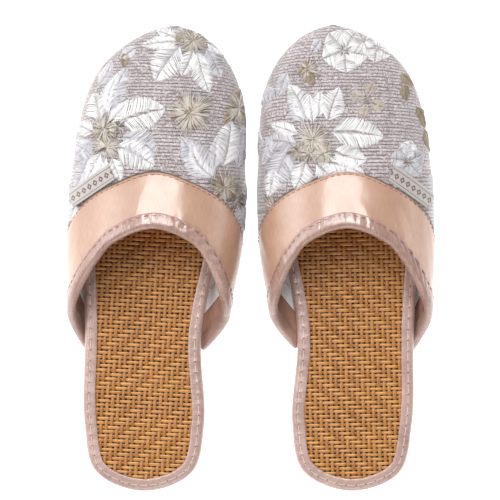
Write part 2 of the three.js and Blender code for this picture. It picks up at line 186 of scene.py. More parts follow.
def wander(x: Array, seed: int, waves: int = 5, longest: float = 1.0) -> Array:
    """A soft random curve from -1 to 1: a sum of sines of shrinking wavelength with seeded phases.

    Args:
        x: Where to read it.
        seed: Seed of the phases.
        waves: How many sines.
        longest: The longest wavelength.

    Returns:
        Values of the same shape as x.
    """
    rng = np.random.default_rng(seed)
    total = np.zeros_like(np.asarray(x, float))
    for k in range(waves):
        total = total + np.sin(TAU * x / longest * 1.7**k + rng.uniform(0, TAU)) / 1.35**k
    return total / 2.2


def grid_faces(rows: int, columns: int, ring: bool = False) -> Array:
    """Quads over a grid of points numbered row by row.

    Args:
        rows: Rows of points.
        columns: Points in a row.
        ring: Whether the last column joins the first.

    Returns:
        One row of four point numbers for each quad.
    """
    r = np.arange(rows - 1)[:, None]
    c = np.arange(columns if ring else columns - 1)[None, :]
    r2, c2 = r + 1, (c + 1) % columns
    quads = [r * columns + c, r * columns + c2, r2 * columns + c2, r2 * columns + c]
    return np.stack(np.broadcast_arrays(*quads), -1).reshape(-1, 4)


@dataclass
class Solid:
    """Points, faces and what the faces carry, before they become a Blender mesh.

    Attributes:
        points: Points in the slipper's own frame, in millimetres.
        faces: Quads or triangles, each a row of point numbers.
        uv: A pattern coordinate for each point, in millimetres, or None.
        colour: A linear RGB colour for each point, or None.
    """

    points: Array
    faces: list
    uv: Array | None = None
    colour: Array | None = None

    @staticmethod
    def joined(parts: Sequence["Solid"]) -> "Solid":
        """Several solids as one, with their faces renumbered.

        Args:
            parts: The solids.

        Returns:
            The one solid.
        """
        start, faces = 0, []
        for p in parts:
            faces += [np.asarray(f) + start for f in p.faces]
            start += len(p.points)
        uv = np.vstack([p.uv for p in parts]) if all(p.uv is not None for p in parts) else None
        colour = np.vstack([p.colour for p in parts]) if all(p.colour is not None for p in parts) else None
        return Solid(np.vstack([p.points for p in parts]), faces, uv, colour)


def swept(stations: Array, uv: Array) -> Solid:
    """A solid from a closed section carried through stations, with fans over the section at both ends.

    Args:
        stations: Points as (station, section point, xyz).
        uv: Pattern coordinates as (station, section point, 2).

    Returns:
        The closed solid.
    """
    count, sides, _ = stations.shape
    j = np.arange(sides)
    k = (j + 1) % sides
    last = (count - 1) * sides
    first_pole = np.full(sides, count * sides)
    fans = [np.stack([first_pole, k, j], -1), np.stack([first_pole + 1, last + j, last + k], -1)]
    points = np.vstack([stations.reshape(-1, 3), stations[[0, -1]].mean(1)])
    coords = np.vstack([uv.reshape(-1, 2), uv[[0, -1]].mean(1)])
    return Solid(points, [grid_faces(count, sides, True), *fans], coords)


def ring_of_tape(stations: Array, uv: Array) -> Solid:
    """A closed ring from a section carried through stations, whose pattern coordinate runs on past the join.

    Args:
        stations: Points as (station, section point, xyz).
        uv: Pattern coordinates as (station, section point, 2), at even steps.

    Returns:
        The ring, with its first station repeated at the end.
    """
    last = uv[-1:] + [uv[1, 0, 0] - uv[0, 0, 0], 0]
    quads = grid_faces(len(stations) + 1, stations.shape[1], True)[:, ::-1]
    points = np.concatenate([stations, stations[:1]], 0)
    return Solid(points.reshape(-1, 3), [quads], np.concatenate([uv, last], 0).reshape(-1, 2))


def plate(top: Array, bottom: Array, coords: Array) -> Solid:
    """A thin closed sheet between two grids of points.

    Args:
        top: The outer face's points, as (row, column, xyz).
        bottom: The inner face's points, in the same order.
        coords: Pattern coordinates, as (point, 2).

    Returns:
        Both faces, and a row of quads round the rim.
    """
    rows, columns = top.shape[:2]
    size = rows * columns
    quads = grid_faces(rows, columns)
    number = np.arange(size).reshape(rows, columns)
    rim = np.r_[number[0, :-1], number[:-1, -1], number[-1, :0:-1], number[:0:-1, 0]]
    after = np.roll(rim, -1)
    faces = [quads, quads[:, ::-1] + size, np.stack([after, rim, rim + size, after + size], -1)]
    points = np.vstack([top.reshape(-1, 3), bottom.reshape(-1, 3)])
    return Solid(points, faces, np.vstack([coords, coords]))


def path_length(points: Array) -> Array:
    """Length run so far at each point of a line."""
    return np.r_[0, np.cumsum(np.linalg.norm(np.diff(points, axis=0), axis=1))]


def stitch_template() -> tuple[Array, Array]:
    """One stitch of unit length, width and height: a bead whose ends dive into the cloth.

    Returns:
        Its points and faces. Along it the section is an ellipse that swells in the middle, and its centre
        follows a low arch.
    """
    t = np.array([-0.5, -0.42, -0.2, 0.0, 0.2, 0.42, 0.5])
    fat = np.array([0.25, 0.75, 1.0, 1.0, 1.0, 0.75, 0.25])
    a = np.arange(6) / 6 * TAU
    x = np.repeat(t[:, None], 6, 1)
    y = 0.5 * fat[:, None] * np.cos(a)
    z = 0.5 * fat[:, None] * np.sin(a) - 1.6 * np.abs(t[:, None]) ** 2.5 * 2
    ring = np.stack([x, y, z], -1)
    rows = len(t)
    points = np.vstack([ring.reshape(-1, 3), ring[0].mean(0), ring[-1].mean(0)])
    quads = grid_faces(rows, 6, True)
    j = np.arange(6)
    k = (j + 1) % 6
    pole, last = np.full(6, rows * 6), (rows - 1) * 6
    caps = [np.stack([pole, k, j, j], -1), np.stack([pole + 1, last + j, last + k, last + k], -1)]
    return points, np.vstack([quads, *caps])


def stitches(places: Array, runs: Array, normals: Array, sizes: Array) -> Solid:
    """A stitch at each of many places.

    Args:
        places: Where each goes, as (stitch, xyz).
        runs: Unit directions along them.
        normals: Unit directions out of the cloth.
        sizes: Length, width and height of each, as (stitch, 3).

    Returns:
        All the stitches as one solid.
    """
    template, faces = stitch_template()
    frames = np.stack([runs, np.cross(normals, runs), normals], 1)
    points = places[:, None, :] + np.einsum("kpa,kax->kpx", template[None] * sizes[:, None, :], frames)
    numbers = faces[None] + (np.arange(len(places)) * len(template))[:, None, None]
    return Solid(points.reshape(-1, 3), [numbers.reshape(-1, 4)])


# ---------------------------------------------------------------- the last: outlines and the upper's form


@dataclass
class Last:
    """The slipper's form, which every piece is laid on. Sizes are the same as the frame's, in millimetres."""

    length: float = 251
    heel_width: float = 67
    heel_station: float = 38
    waist_width: float = 65
    waist_station: float = 88
    waist_centre: float = -1
    ball_width: float = 81
    ball_station: float = 172
    ball_centre: float = 6.5
    toe_width: float = 60
    toe_station: float = 231
    toe_centre: float = 11
    toe_tip: float = 16
    outsole: float = 6
    thickness: float = 2.7
    crest_x: float = 6.5
    crest_height: float = 60
    throat_station: float = 147.5
    crest_slope: float = 0.21
    crown: float = 2.35
    fan_station: float = 180
    room_toe: float = 5
    room_medial: float = 10.5
    room_lateral: float = 5
    ease: Point = (118, 190)
    bulge_heights: Point = (27, 23)
    tuck: float = 1.5
    turn_in: float = 12
    flat_z: float = 6.8
    leg_rear: float = 78
    leg_front: float = 111
    collar_depth: float = 29
    vamp_corner: float = 7
    seam_gap: float = 0.8

    def __post_init__(self) -> None:
        """Works out the outline, the reach tables and the collar's two pattern curves."""
        half = self.heel_width / 2
        rows = [
            (0, 0.8 * half, 0.28 * self.heel_station),
            (0, half, self.heel_station),
            (self.waist_centre, self.waist_width / 2, self.waist_station),
            (self.ball_centre, self.ball_width / 2, self.ball_station),
            (self.toe_centre, self.toe_width / 2, self.toe_station),
        ]
        right = [(centre + out, y) for centre, out, y in rows]
        left = [(centre - out, y) for centre, out, y in reversed(rows)]
        self.edge = Spline([(0, 0), *right, (self.toe_tip, self.length), *left], True)
        shares = np.arange(2400) / 2400
        sole = self.outline(0.0, shares)
        self.bulge_line = self.outline(-self._bulge_out(sole), shares)
        self.angles = np.linspace(0, math.pi, 900)
        self.stations = np.linspace(40, self.fan_station, 700)
        self._tables(sole)
        self._collar_curves()

    def _bulge_out(self, p: Array) -> Array:
        """How far the upper stands out past the footbed's edge at outline points p.

        Args:
            p: Plan points with x and y last.

        Returns:
            One distance for each point.
        """
        leg = np.where(p[..., 0] > self.crest_x, self.room_medial, self.room_lateral)
        ease = smooth(p[..., 1], *self.ease)
        return self.thickness + leg * (1 - ease) + self.room_toe * ease

    def outline(self, inset: float | Array, shares: Array) -> Array:
        """The footbed's outline, moved inwards along its normal by inset.

        Args:
            inset: Distance inwards, one for all or one for each share.
            shares: Places round the outline, from the heel end, anticlockwise.

        Returns:
            Plan points with x and y last.
        """
        t = self.edge.tangent(shares)
        inward = np.stack([-t[..., 1], t[..., 0]], -1)
        return self.edge.at(shares) + inward * np.asarray(inset)[..., None]

    @staticmethod
    def _reach(edge: Array, origins: Array, directions: Array) -> Array:
        """Distance from each origin to a closed outline along its direction: the furthest crossing.

        Args:
            edge: The outline's points.
            origins: Where each ray starts.
            directions: The rays' unit directions.

        Returns:
            One distance for each ray.
        """
        a, b = edge, np.roll(edge, -1, axis=0)
        s = b - a
        d = directions[:, None, :]
        cross = d[..., 0] * s[None, :, 1] - d[..., 1] * s[None, :, 0]
        cross = np.where(np.abs(cross) < 1e-12, 1e-12, cross)
        o = a[None] - origins[:, None, :]
        along = (o[..., 0] * s[None, :, 1] - o[..., 1] * s[None, :, 0]) / cross
        share = (o[..., 0] * d[..., 1] - o[..., 1] * d[..., 0]) / cross
        hit = (share >= -1e-9) & (share <= 1 + 1e-9) & (along > 0)
        return np.where(hit, along, 0).max(1)

    def _tables(self, sole: Array) -> None:
        """Tabulates how far each ray runs to the bulge line and to the sole's edge.

        Args:
            sole: The sole's outline.
        """
        fan_from = np.tile([self.crest_x, self.fan_station], (len(self.angles), 1))
        fan_dir = np.stack([np.cos(self.angles), np.sin(self.angles)], -1)
        row_from = np.stack([np.full_like(self.stations, self.crest_x), self.stations], -1)
        ones, zeros = np.ones_like(self.stations), np.zeros_like(self.stations)
        self.table = {}
        for name, line in (("bulge", self.bulge_line), ("sole", sole)):
            self.table[name] = (
                self._reach(line, fan_from, fan_dir),
                self._reach(line, row_from, np.stack([ones, zeros], -1)),
                self._reach(line, row_from, np.stack([-ones, zeros], -1)),
            )

    def ray(self, u: Array, v: Array) -> dict[str, Array]:
        """The ray that each pattern point lies on.

        Args:
            u: Pattern coordinate across.
            v: Pattern coordinate along.

        Returns:
            Its start (from_y), direction (dx, dy), the point's distance along it, and the lengths to the
            bulge line, to where the turn-in lies flat, and down the wall, with the bulge line's height.
        """
        from_y = np.minimum(v, self.fan_station)
        du, dv = u - self.crest_x, v - from_y
        distance = np.hypot(du, dv)
        angle = np.arctan2(dv, du)
        safe = np.maximum(distance, 1e-9)
        dx = np.where(distance > 1e-9, du / safe, 1.0)
        dy = np.where(distance > 1e-9, dv / safe, 0.0)
        lengths = {}
        for name, (fan, right, left) in self.table.items():
            on_right, on_left = (np.interp(from_y, self.stations, side) for side in (right, left))
            rows = np.where(du >= 0, on_right, on_left)
            lengths[name] = np.where(v > self.fan_station, np.interp(angle, self.angles, fan), rows)
        flat = lengths["sole"] - self.tuck
        low, high = self.bulge_heights
        height = low + (high - low) * smooth(from_y + dy * lengths["bulge"], *self.ease)
        wall = math.pi / 2 * np.hypot(lengths["bulge"] - flat, height - self.flat_z) * math.sqrt(0.5)
        place = dict(from_y=from_y, dx=dx, dy=dy, distance=distance)
        return dict(**place, bulge=lengths["bulge"], flat=flat, height=height, wall=wall)

    def surface(self, u: Array, v: Array) -> Array:
        """The upper's outer face at pattern points.

        Inside the bulge line, the plan distance is the sine of the share of the way out, and the height
        falls from the crest by a superellipse. Past it, the face follows a quarter ellipse down the wall
        and then lies flat under the footbed.

        Args:
            u: Pattern coordinate across.
            v: Pattern coordinate along.

        Returns:
            Points with x, y and z last.
        """
        r = self.ray(u, v)
        sine = np.sin(np.clip(r["distance"] / r["bulge"], 0, 1) * math.pi / 2)
        top_radius = r["bulge"] * sine
        y = r["from_y"] + r["dy"] * top_radius
        crest = self.crest_height - self.crest_slope * (y - self.throat_station)
        top_z = r["height"] + (crest - r["height"]) * np.sqrt(np.clip(1 - sine**self.crown, 0, None))
        past = np.maximum(r["distance"] - r["bulge"], 0)
        angle = np.minimum(1, past / r["wall"]) * math.pi / 2
        low_radius = r["flat"] + (r["bulge"] - r["flat"]) * np.cos(angle) - np.maximum(0, past - r["wall"])
        low_z = r["height"] - (r["height"] - self.flat_z) * np.sin(angle)
        top = r["distance"] <= r["bulge"]
        radius, z = np.where(top, top_radius, low_radius), np.where(top, top_z, low_z)
        return np.stack([self.crest_x + r["dx"] * radius, r["from_y"] + r["dy"] * radius, z], -1)

    def normal(self, u: Array, v: Array, step: float = 0.5) -> Array:
        """Outward unit normals of the upper, from the slopes along both pattern directions.

        Args:
            u: Pattern coordinate across.
            v: Pattern coordinate along.
            step: Half the distance that each slope is read over.

        Returns:
            Unit normals with x, y and z last.
        """
        across = self.surface(u + step, v) - self.surface(u - step, v)
        along = self.surface(u, v + step) - self.surface(u, v - step)
        return unit(np.cross(across, along))

    def drape(self, x: Array, y: Array) -> tuple[Array, Array]:
        """Pattern points under plan points. Past the bulge line, plan distance runs on down the wall.

        Args:
            x: Plan coordinate across.
            y: Plan coordinate along.

        Returns:
            Pattern coordinates across and along.
        """
        from_y = np.minimum(y, self.fan_station)
        r = self.ray(x, y)
        inside = np.arcsin(np.clip(r["distance"] / r["bulge"], 0, 1)) * 2 / math.pi * r["bulge"]
        d = inside + np.maximum(0, r["distance"] - r["bulge"])
        return self.crest_x + r["dx"] * d, from_y + r["dy"] * d

    def true_pattern(self, u: Array, v: Array, steps: int = 20) -> Array:
        """Cloth coordinates in true millimetres: each point's own arc length along its ray, laid out flat.

        Args:
            u: Pattern coordinate across.
            v: Pattern coordinate along.
            steps: Chords that each arc is measured by.

        Returns:
            Cloth coordinates, in millimetres, with both last.
        """
        r = self.ray(u, v)
        share = np.linspace(0, 1, steps + 1)
        us = self.crest_x + (u - self.crest_x)[..., None] * share
        vs = r["from_y"][..., None] + (v - r["from_y"])[..., None] * share
        arc = np.linalg.norm(np.diff(self.surface(us, vs), axis=-2), axis=-1).sum(-1)
        return np.stack([self.crest_x + r["dx"] * arc, r["from_y"] + r["dy"] * arc], -1)

    def _leg(self, side: int, station: float, share: float, past: float = 0.0) -> Point:
        """Pattern point past the bulge line, by a share of the wall and a length.

        Args:
            side: 1 for the medial leg, -1 for the lateral one.
            station: Distance from the heel end.
            share: Share of the way down the wall.
            past: Length past that.

        Returns:
            The pattern point.
        """
        r = self.ray(np.array(self.crest_x + side), np.array(station))
        return self.crest_x + side * float(r["bulge"] + r["wall"] * share + past), station

    def _top(self, side: int, station: float, share: float) -> Point:
        """Pattern point a share of the way from the crest to the bulge line.

        Args:
            side: 1 for the medial side, -1 for the lateral one.
            station: Distance from the heel end.
            share: Share of the way out.

        Returns:
            The pattern point.
        """
        r = self.ray(np.array(self.crest_x + side), np.array(station))
        return self.crest_x + side * float(r["bulge"]) * share, station

    def _collar_curves(self) -> None:
        """The throat's edge and the front seam, as pattern curves from the medial to the lateral turn-in."""

        def curve(rear: float, crest: float, rise: float, tops: Sequence[Point]) -> Spline:
            """A curve from the medial turn-in, over the crest, to the lateral one.

            Args:
                rear: Its station at the turn-ins.
                crest: Its station at the crest.
                rise: How far it runs forward on its way up the wall.
                tops: (distance behind the crest, share of the way out) pairs.

            Returns:
                The curve.
            """
            legs = [(0, 1, self.turn_in), (0, 1, 0.0), (rise, 0.45, 0.0)]
            medial, lateral = (
                [self._leg(side, rear + dy, share, past) for dy, share, past in legs]
                + [self._top(side, crest - back, share) for back, share in tops]
                for side in (1, -1)
            )
            return Spline([*medial, (self.crest_x, crest), *lateral[::-1]], False)

        throat_tops = [(48, 0.98), (39, 0.76), (29, 0.6), (18, 0.45), (8, 0.3)]
        seam_tops = [(36, 0.98), (28, 0.8), (17, 0.58), (6.5, 0.29)]
        self.throat = curve(self.leg_rear, self.throat_station, 11, throat_tops)
        self.seam = curve(self.leg_front, self.throat_station + self.collar_depth, 16, seam_tops)

    def collar_width(self, along: Array) -> Array:
        """Distance over the surface from the throat's edge to the front seam.

        Args:
            along: Shares of the way along the collar.

        Returns:
            One distance for each share.
        """
        a, b = self.throat.at(along), self.seam.at(along)
        share = np.linspace(0, 1, 9)[:, None, None]
        line = mix(a[None], b[None], share)
        return np.linalg.norm(np.diff(self.surface(line[..., 0], line[..., 1]), axis=0), axis=-1).sum(0)

    def collar(self, along: Array, forward: Array) -> Array:
        """Pattern points at real distances in front of the throat's edge.

        Args:
            along: Shares of the way along the collar, one for each row.
            forward: Distances, as (row, column).

        Returns:
            Pattern points as (row, column, 2).
        """
        share = (forward / self.collar_width(along)[:, None])[..., None]
        return mix(self.throat.at(along)[:, None, :], self.seam.at(along)[:, None, :], share)

    def rim(self, along: Array) -> Array:
        """Pattern points at the inner edge of the vamp's turn-in.

        Args:
            along: Shares of the way round, from the medial to the lateral corner.

        Returns:
            Pattern points as (share, 2).
        """
        shares = np.linspace(0, 1, 4001)
        y = self.edge.at(shares)[:, 1]
        target = self.leg_front + self.vamp_corner
        first = shares[:2001][np.argmin(np.abs(y[:2001] - target))]
        last = shares[2000:][np.argmin(np.abs(y[2000:] - target))]
        p = self.edge.at(first + (last - first) * along)
        r = self.ray(p[:, 0], p[:, 1])
        d = r["bulge"] + r["wall"] + self.turn_in
        return np.stack([self.crest_x + r["dx"] * d, r["from_y"] + r["dy"] * d], -1)

    def vamp(self, along: Array, share: Array) -> Array:
        """Pattern points of the vamp, from the front seam to the turn-in's inner edge.

        Args:
            along: Shares of the way along the front seam, one for each row.
            share: Shares of the way from the seam to the rim, one for each column.

        Returns:
            Pattern points as (row, column, 2).
        """
        start = self.collar(along, (self.collar_width(along) + self.seam_gap)[:, None])[:, 0]
        k = (1 - (1 - share) ** 1.25)[None, :, None]
        return mix(start[:, None, :], self.rim(along)[:, None, :], k)

    def lifted(self, pattern: Array, out: Array | float) -> Array:
        """Points a distance out from the upper's face, over pattern points.

        Args:
            pattern: Pattern points, with both coordinates last.
            out: Distance out, one for all or one for each point.

        Returns:
            Points with x, y and z last.
        """
        u, v = pattern[..., 0], pattern[..., 1]
        return self.surface(u, v) + self.normal(u, v) * np.asarray(out)[..., None]


# ---------------------------------------------------------------- placing a slipper in the pair


@dataclass
class Placement:
    """How a slipper's own frame lies in the pair's."""

    side: Side
    turn_degrees: float
    last: Last
    pivot: float = 172
    shift: Array = field(default_factory=lambda: np.zeros(2))

    def _turned(self, p: Array) -> Array:
        """Plan points mirrored for their side and turned about the ball.

        Args:
            p: Plan points with x and y last.

        Returns:
            The turned points.
        """
        a = math.radians(self.turn_degrees)
        x, y = p[..., 0] * self.side.value, p[..., 1] - self.pivot
        return np.stack([x * math.cos(a) - y * math.sin(a), x * math.sin(a) + y * math.cos(a)], -1)

    def fit(self, node: str, inset: float) -> None:
        """Finds the shift that lays the outline, moved in by inset, on the box of a frame node.

        Args:
            node: The frame node.
            inset: How far inside the footbed's outline the node's own edge lies.
        """
        low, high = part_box(node)
        target = (np.array(low[:2]) + np.array(high[:2])) / 2 / MM
        p = self._turned(self.last.outline(inset, np.arange(44) / 44))
        self.shift = target - (p.min(0) + p.max(0)) / 2

    def __call__(self, points: Array) -> Array:
        """Points of the slipper's own frame, in millimetres, placed in the pair, in metres."""
        flat = self._turned(points[..., :2]) + self.shift
        return np.concatenate([flat, points[..., 2:]], -1) * MM


# ---------------------------------------------------------------- shaders


class Graph:
    """A material's node graph, built by short calls that return sockets."""

    def __init__(self, name: str) -> None:
        """Starts a material with one principled shader.

        Args:
            name: The material's name.
        """
        self.material = bpy.data.materials.new(name)
        self.material.use_nodes = True
        self.tree = self.material.node_tree
        self.tree.nodes.clear()
        self.out = self.tree.nodes.new("ShaderNodeOutputMaterial")
        self.shader = self.tree.nodes.new("ShaderNodeBsdfPrincipled")
        self.tree.links.new(self.shader.outputs[0], self.out.inputs["Surface"])

    def put(self, node: bpy.types.Node, key: str | int, value: object) -> None:
        """Links a socket into an input, or sets the input's value.

        Args:
            node: The node.
            key: The input's name or number.
            value: A socket to link, a value to set, or None to leave the input alone.
        """
        if isinstance(value, Socket):
            self.tree.links.new(value, node.inputs[key])
        elif value is not None:
            node.inputs[key].default_value = value

    def math(self, operation: str, a: object, b: object = None, c: object = None) -> Socket:
        """One math node's result.

        Args:
            operation: The node's operation.
            a: First operand, a socket or a number.
            b: Second operand, if there is one.
            c: Third operand, if there is one.

        Returns:
            The result.
        """
        n = self.tree.nodes.new("ShaderNodeMath")
        n.operation = operation
        for i, v in enumerate((a, b, c)):
            self.put(n, i, v)
        return n.outputs[0]

    def coordinates(self, kind: str) -> Socket:
        """Object or UV coordinates."""
        return self.tree.nodes.new("ShaderNodeTexCoord").outputs[kind]

    def split(self, vector: Socket) -> tuple[Socket, ...]:
        """A vector's three numbers.

        Args:
            vector: The vector.

        Returns:
            Its numbers along x, y and z.
        """
        n = self.tree.nodes.new("ShaderNodeSeparateXYZ")
        self.put(n, 0, vector)
        return tuple(n.outputs)

    def millimetres(self) -> tuple[Socket, Socket]:
        """The piece's own pattern coordinates, in millimetres."""
        u, v, _ = self.split(self.coordinates("UV"))
        return self.math("MULTIPLY", u, UV_SPAN), self.math("MULTIPLY", v, UV_SPAN)

    def noise(self, vector: Socket, scale: float, detail: float = 3, rough: float = 0.55) -> Socket:
        """Noise from 0 to 1.

        Args:
            vector: Where to read the noise.
            scale: How fine it is.
            detail: How many finer layers it has.
            rough: How strong they are.

        Returns:
            The noise.
        """
        n = self.tree.nodes.new("ShaderNodeTexNoise")
        self.put(n, "Vector", vector)
        self.put(n, "Scale", scale)
        self.put(n, "Detail", detail)
        self.put(n, "Roughness", rough)
        return n.outputs["Fac"]

    def stretched(self, vector: Socket, scale: Colour) -> Socket:
        """Coordinates scaled along each axis.

        Args:
            vector: The coordinates.
            scale: A factor for each axis.

        Returns:
            The scaled coordinates.
        """
        n = self.tree.nodes.new("ShaderNodeMapping")
        self.put(n, "Vector", vector)
        n.inputs["Scale"].default_value = scale
        return n.outputs[0]

    def ramp(self, value: Socket, stops: Sequence[tuple[float, Colour]]) -> Socket:
        """A colour ramp.

        Args:
            value: Where to read the ramp, from 0 to 1.
            stops: Places and linear RGB colours.

        Returns:
            The colour.
        """
        n = self.tree.nodes.new("ShaderNodeValToRGB")
        self.put(n, 0, value)
        elements = n.color_ramp.elements
        while len(elements) < len(stops):
            elements.new(0.5)
        for e, (at, colour) in zip(elements, stops):
            e.position = at
            e.color = (*colour, 1)
        return n.outputs[0]

    def blend(self, share: object, a: object, b: object) -> Socket:
        """Colour a going to colour b.

        Args:
            share: Share of the way from a to b.
            a: Colour at zero, a socket or linear RGB.
            b: Colour at one.

        Returns:
            The colour.
        """
        n = self.tree.nodes.new("ShaderNodeMix")
        n.data_type = "RGBA"
        self.put(n, 0, share)
        for key, v in ((6, a), (7, b)):
            self.put(n, key, (*v, 1) if isinstance(v, tuple) else v)
        return n.outputs[2]

    def attribute(self, name: str) -> Socket:
        """A colour carried by the mesh.

        Args:
            name: The attribute's name.

        Returns:
            The colour.
        """
        n = self.tree.nodes.new("ShaderNodeAttribute")
        n.attribute_name = name
        return n.outputs["Color"]

    def bump(self, height: Socket, millimetres: float, strength: float = 1.0) -> None:
        """Adds relief of a depth in millimetres to the shader's normal.

        Args:
            height: The relief's height.
            millimetres: Depth of one unit of height.
            strength: Share of the relief that shows.
        """
        n = self.tree.nodes.new("ShaderNodeBump")
        self.put(n, "Height", height)
        n.inputs["Distance"].default_value = millimetres * MM
        n.inputs["Strength"].default_value = strength
        if self.shader.inputs["Normal"].is_linked:
            self.put(n, "Normal", self.shader.inputs["Normal"].links[0].from_socket)
        self.put(self.shader, "Normal", n.outputs[0])

    def wave(self, coordinate: object, pitch: float, phase: object = 0.0) -> Socket:
        """A sine of a coordinate in millimetres, from -1 to 1."""
        turns = self.math("MULTIPLY_ADD", coordinate, TAU / pitch, phase)
        return self.math("SINE", turns)

    def finish(self, **values: float) -> bpy.types.Material:
        """Sets uniform values straight on the shader's sockets and returns the material.

        Args:
            values: Numbers by the socket's short name.

        Returns:
            The material.
        """
        sockets = dict(sheen="Sheen Weight", specular="Specular IOR Level")
        for key, v in values.items():
            self.shader.inputs[sockets.get(key, key.replace("_", " ").title())].default_value = v
        return self.material


@dataclass(frozen=True)
class Satin:
    """Smooth satin cloth: a long highlight across the threads, and a fine twill of floats."""

    name: str
    light: Colour
    deep: Colour
    roughness: float = 0.36
    gloss: float = 0.8
    cloud: float = 55
    holes_at: float = -1.0
    holes_pitch: float = FOOTBED_STITCH_PITCH

    def make(self) -> bpy.types.Material:
        """Builds the material: two tones by soft noise, fine float lines, and needle holes where asked,
        painted near black as shade.

        Returns:
            The material.
        """
        g = Graph(self.name)
        u, v = g.millimetres()
        obj = g.coordinates("Object")
        cloud = g.noise(obj, self.cloud, 4)
        streak = g.noise(g.stretched(g.coordinates("UV"), (UV_SPAN * 2.6, UV_SPAN * 0.22, 1)), 1.0, 3)
        tone = g.math("MULTIPLY_ADD", streak, 0.55, g.math("MULTIPLY", cloud, 0.45))
        colour = g.ramp(tone, [(0.33, self.deep), (0.67, self.light)])
        floats = g.wave(g.math("MULTIPLY_ADD", v, 0.35, u), 0.42)
        lines = g.wave(v, 0.5, g.math("MULTIPLY", u, 2.1))
        g.bump(g.math("ADD", floats, lines), 0.014, 0.45)
        g.bump(g.noise(obj, 210, 3), 0.12, 0.35)
        if self.holes_at > 0:
            mask = self._holes(g, u, v)
            # painted shade: each needle hole is coloured near black
            colour = g.blend(mask, colour, (0.07, 0.03, 0.02))
            g.bump(g.math("SUBTRACT", 1.0, mask), 0.25, 0.8)
        g.put(g.shader, "Base Color", colour)
        return g.finish(roughness=self.roughness, sheen=0.3, sheen_roughness=0.3, specular=self.gloss)

    def _holes(self, g: Graph, u: Socket, v: Socket) -> Socket:
        """One where a needle hole is, at even steps along the stitch line.

        Args:
            g: The material's graph.
            u: Distance along the tape.
            v: Distance across it.

        Returns:
            The mask.
        """
        cell = g.math("SUBTRACT", g.math("FRACT", g.math("DIVIDE", u, self.holes_pitch)), 0.5)
        dx = g.math("MULTIPLY", cell, self.holes_pitch)
        dy = g.math("SUBTRACT", v, self.holes_at)
        far = g.math("SQRT", g.math("ADD", g.math("MULTIPLY", dx, dx), g.math("MULTIPLY", dy, dy)))
        return g.math("SUBTRACT", 1.0, g.math("SMOOTH_MIN", 1.0, g.math("DIVIDE", far, 0.7), 0.2))


@dataclass(frozen=True)
class RibbedNet:
    """Grey-lilac net with cross ribs, and a row of small eyelets in each valley, painted near black as shade.
    """

    name: str = "ribbed_net"
    rib: Colour = (0.68, 0.62, 0.635)
    ground: Colour = (0.18, 0.145, 0.145)
    eyelet: Colour = (0.08, 0.055, 0.052)
    pitch: float = 2.0
    eyelet_pitch: float = 1.15

    def make(self) -> bpy.types.Material:
        """Builds the material: ribs by a sine of the cloth's length, and eyelets, painted near black as
        shade, by a product of two sines.

        Returns:
            The material.
        """
        g = Graph(self.name)
        u, v = g.millimetres()
        obj = g.coordinates("Object")
        wobble = g.math("MULTIPLY", g.math("SUBTRACT", g.noise(obj, 60, 2), 0.5), 1.1)
        v = g.math("ADD", v, g.math("ADD", wobble, g.math("MULTIPLY", u, 0.03)))
        rib = g.wave(v, self.pitch)
        row = g.math("MULTIPLY", g.math("FLOOR", g.math("DIVIDE", v, self.pitch)), math.pi)
        across = g.math("MULTIPLY_ADD", g.wave(u, self.eyelet_pitch, row), 0.5, 0.5)
        valley = g.math("POWER", g.math("MAXIMUM", g.math("MULTIPLY", rib, -1.0), 0.0), 2.6)
        speckle = g.math("SUBTRACT", g.noise(obj, 1100, 3, 0.7), 0.5)
        broad = g.math("SUBTRACT", g.noise(obj, 90, 4), 0.5)
        fine = g.math("MULTIPLY", g.wave(g.math("ADD", u, v), 1.45), g.wave(g.math("SUBTRACT", u, v), 1.45))
        tone = g.math("MULTIPLY_ADD", rib, 0.03, g.math("MULTIPLY_ADD", fine, 0.3, 0.5))
        tone = g.math("ADD", tone, g.math("MULTIPLY_ADD", speckle, 3.2, g.math("MULTIPLY", broad, 0.6)))
        colour = g.ramp(tone, [(0.12, self.ground), (0.86, self.rib)])
        patchy = g.math("SUBTRACT", g.noise(obj, 420, 2), 0.36)
        broken = g.math("MULTIPLY", valley, g.math("MULTIPLY_ADD", speckle, 5.0, across))
        broken = g.math("MULTIPLY", broken, g.math("MAXIMUM", g.math("MULTIPLY", patchy, 8.5), 0.0))
        eye = g.math("MAXIMUM", g.math("MINIMUM", g.math("MULTIPLY", broken, 1.6), 0.9), 0.0)
        # painted shade: the eyelets in the rib valleys, broken up by noise, are coloured near black
        colour = g.blend(eye, colour, self.eyelet)
        g.put(g.shader, "Base Color", colour)
        relief = g.math("MULTIPLY_ADD", rib, 0.12, g.math("MULTIPLY", fine, 0.3))
        g.bump(g.math("SUBTRACT", relief, eye), 0.2, 0.8)
        return g.finish(roughness=0.82, sheen=1.0, sheen_roughness=0.42, specular=0.3)


@dataclass(frozen=True)
class Thread:
    """Glossy embroidery or sewing thread, with twist lines, coloured by the mesh or by one tone."""

    name: str
    tone: Colour | None = None
    roughness: float = 0.5

    def make(self) -> bpy.types.Material:
        """Builds the material: the thread's colour, shaded a little by fine noise.

        Returns:
            The material.
        """
        g = Graph(self.name)
        base = self.tone or g.attribute("thread_colour")
        dust = g.noise(g.coordinates("Object"), 1500, 2)
        worn = tuple(c * 0.5 for c in self.tone) if self.tone else (0.42, 0.38, 0.36)
        shade = g.blend(g.math("MULTIPLY", dust, 0.12), base, worn)
        g.put(g.shader, "Base Color", shade)
        g.bump(dust, 0.05, 0.5)
        return g.finish(roughness=self.roughness, sheen=0.45, sheen_roughness=0.35, specular=0.45)


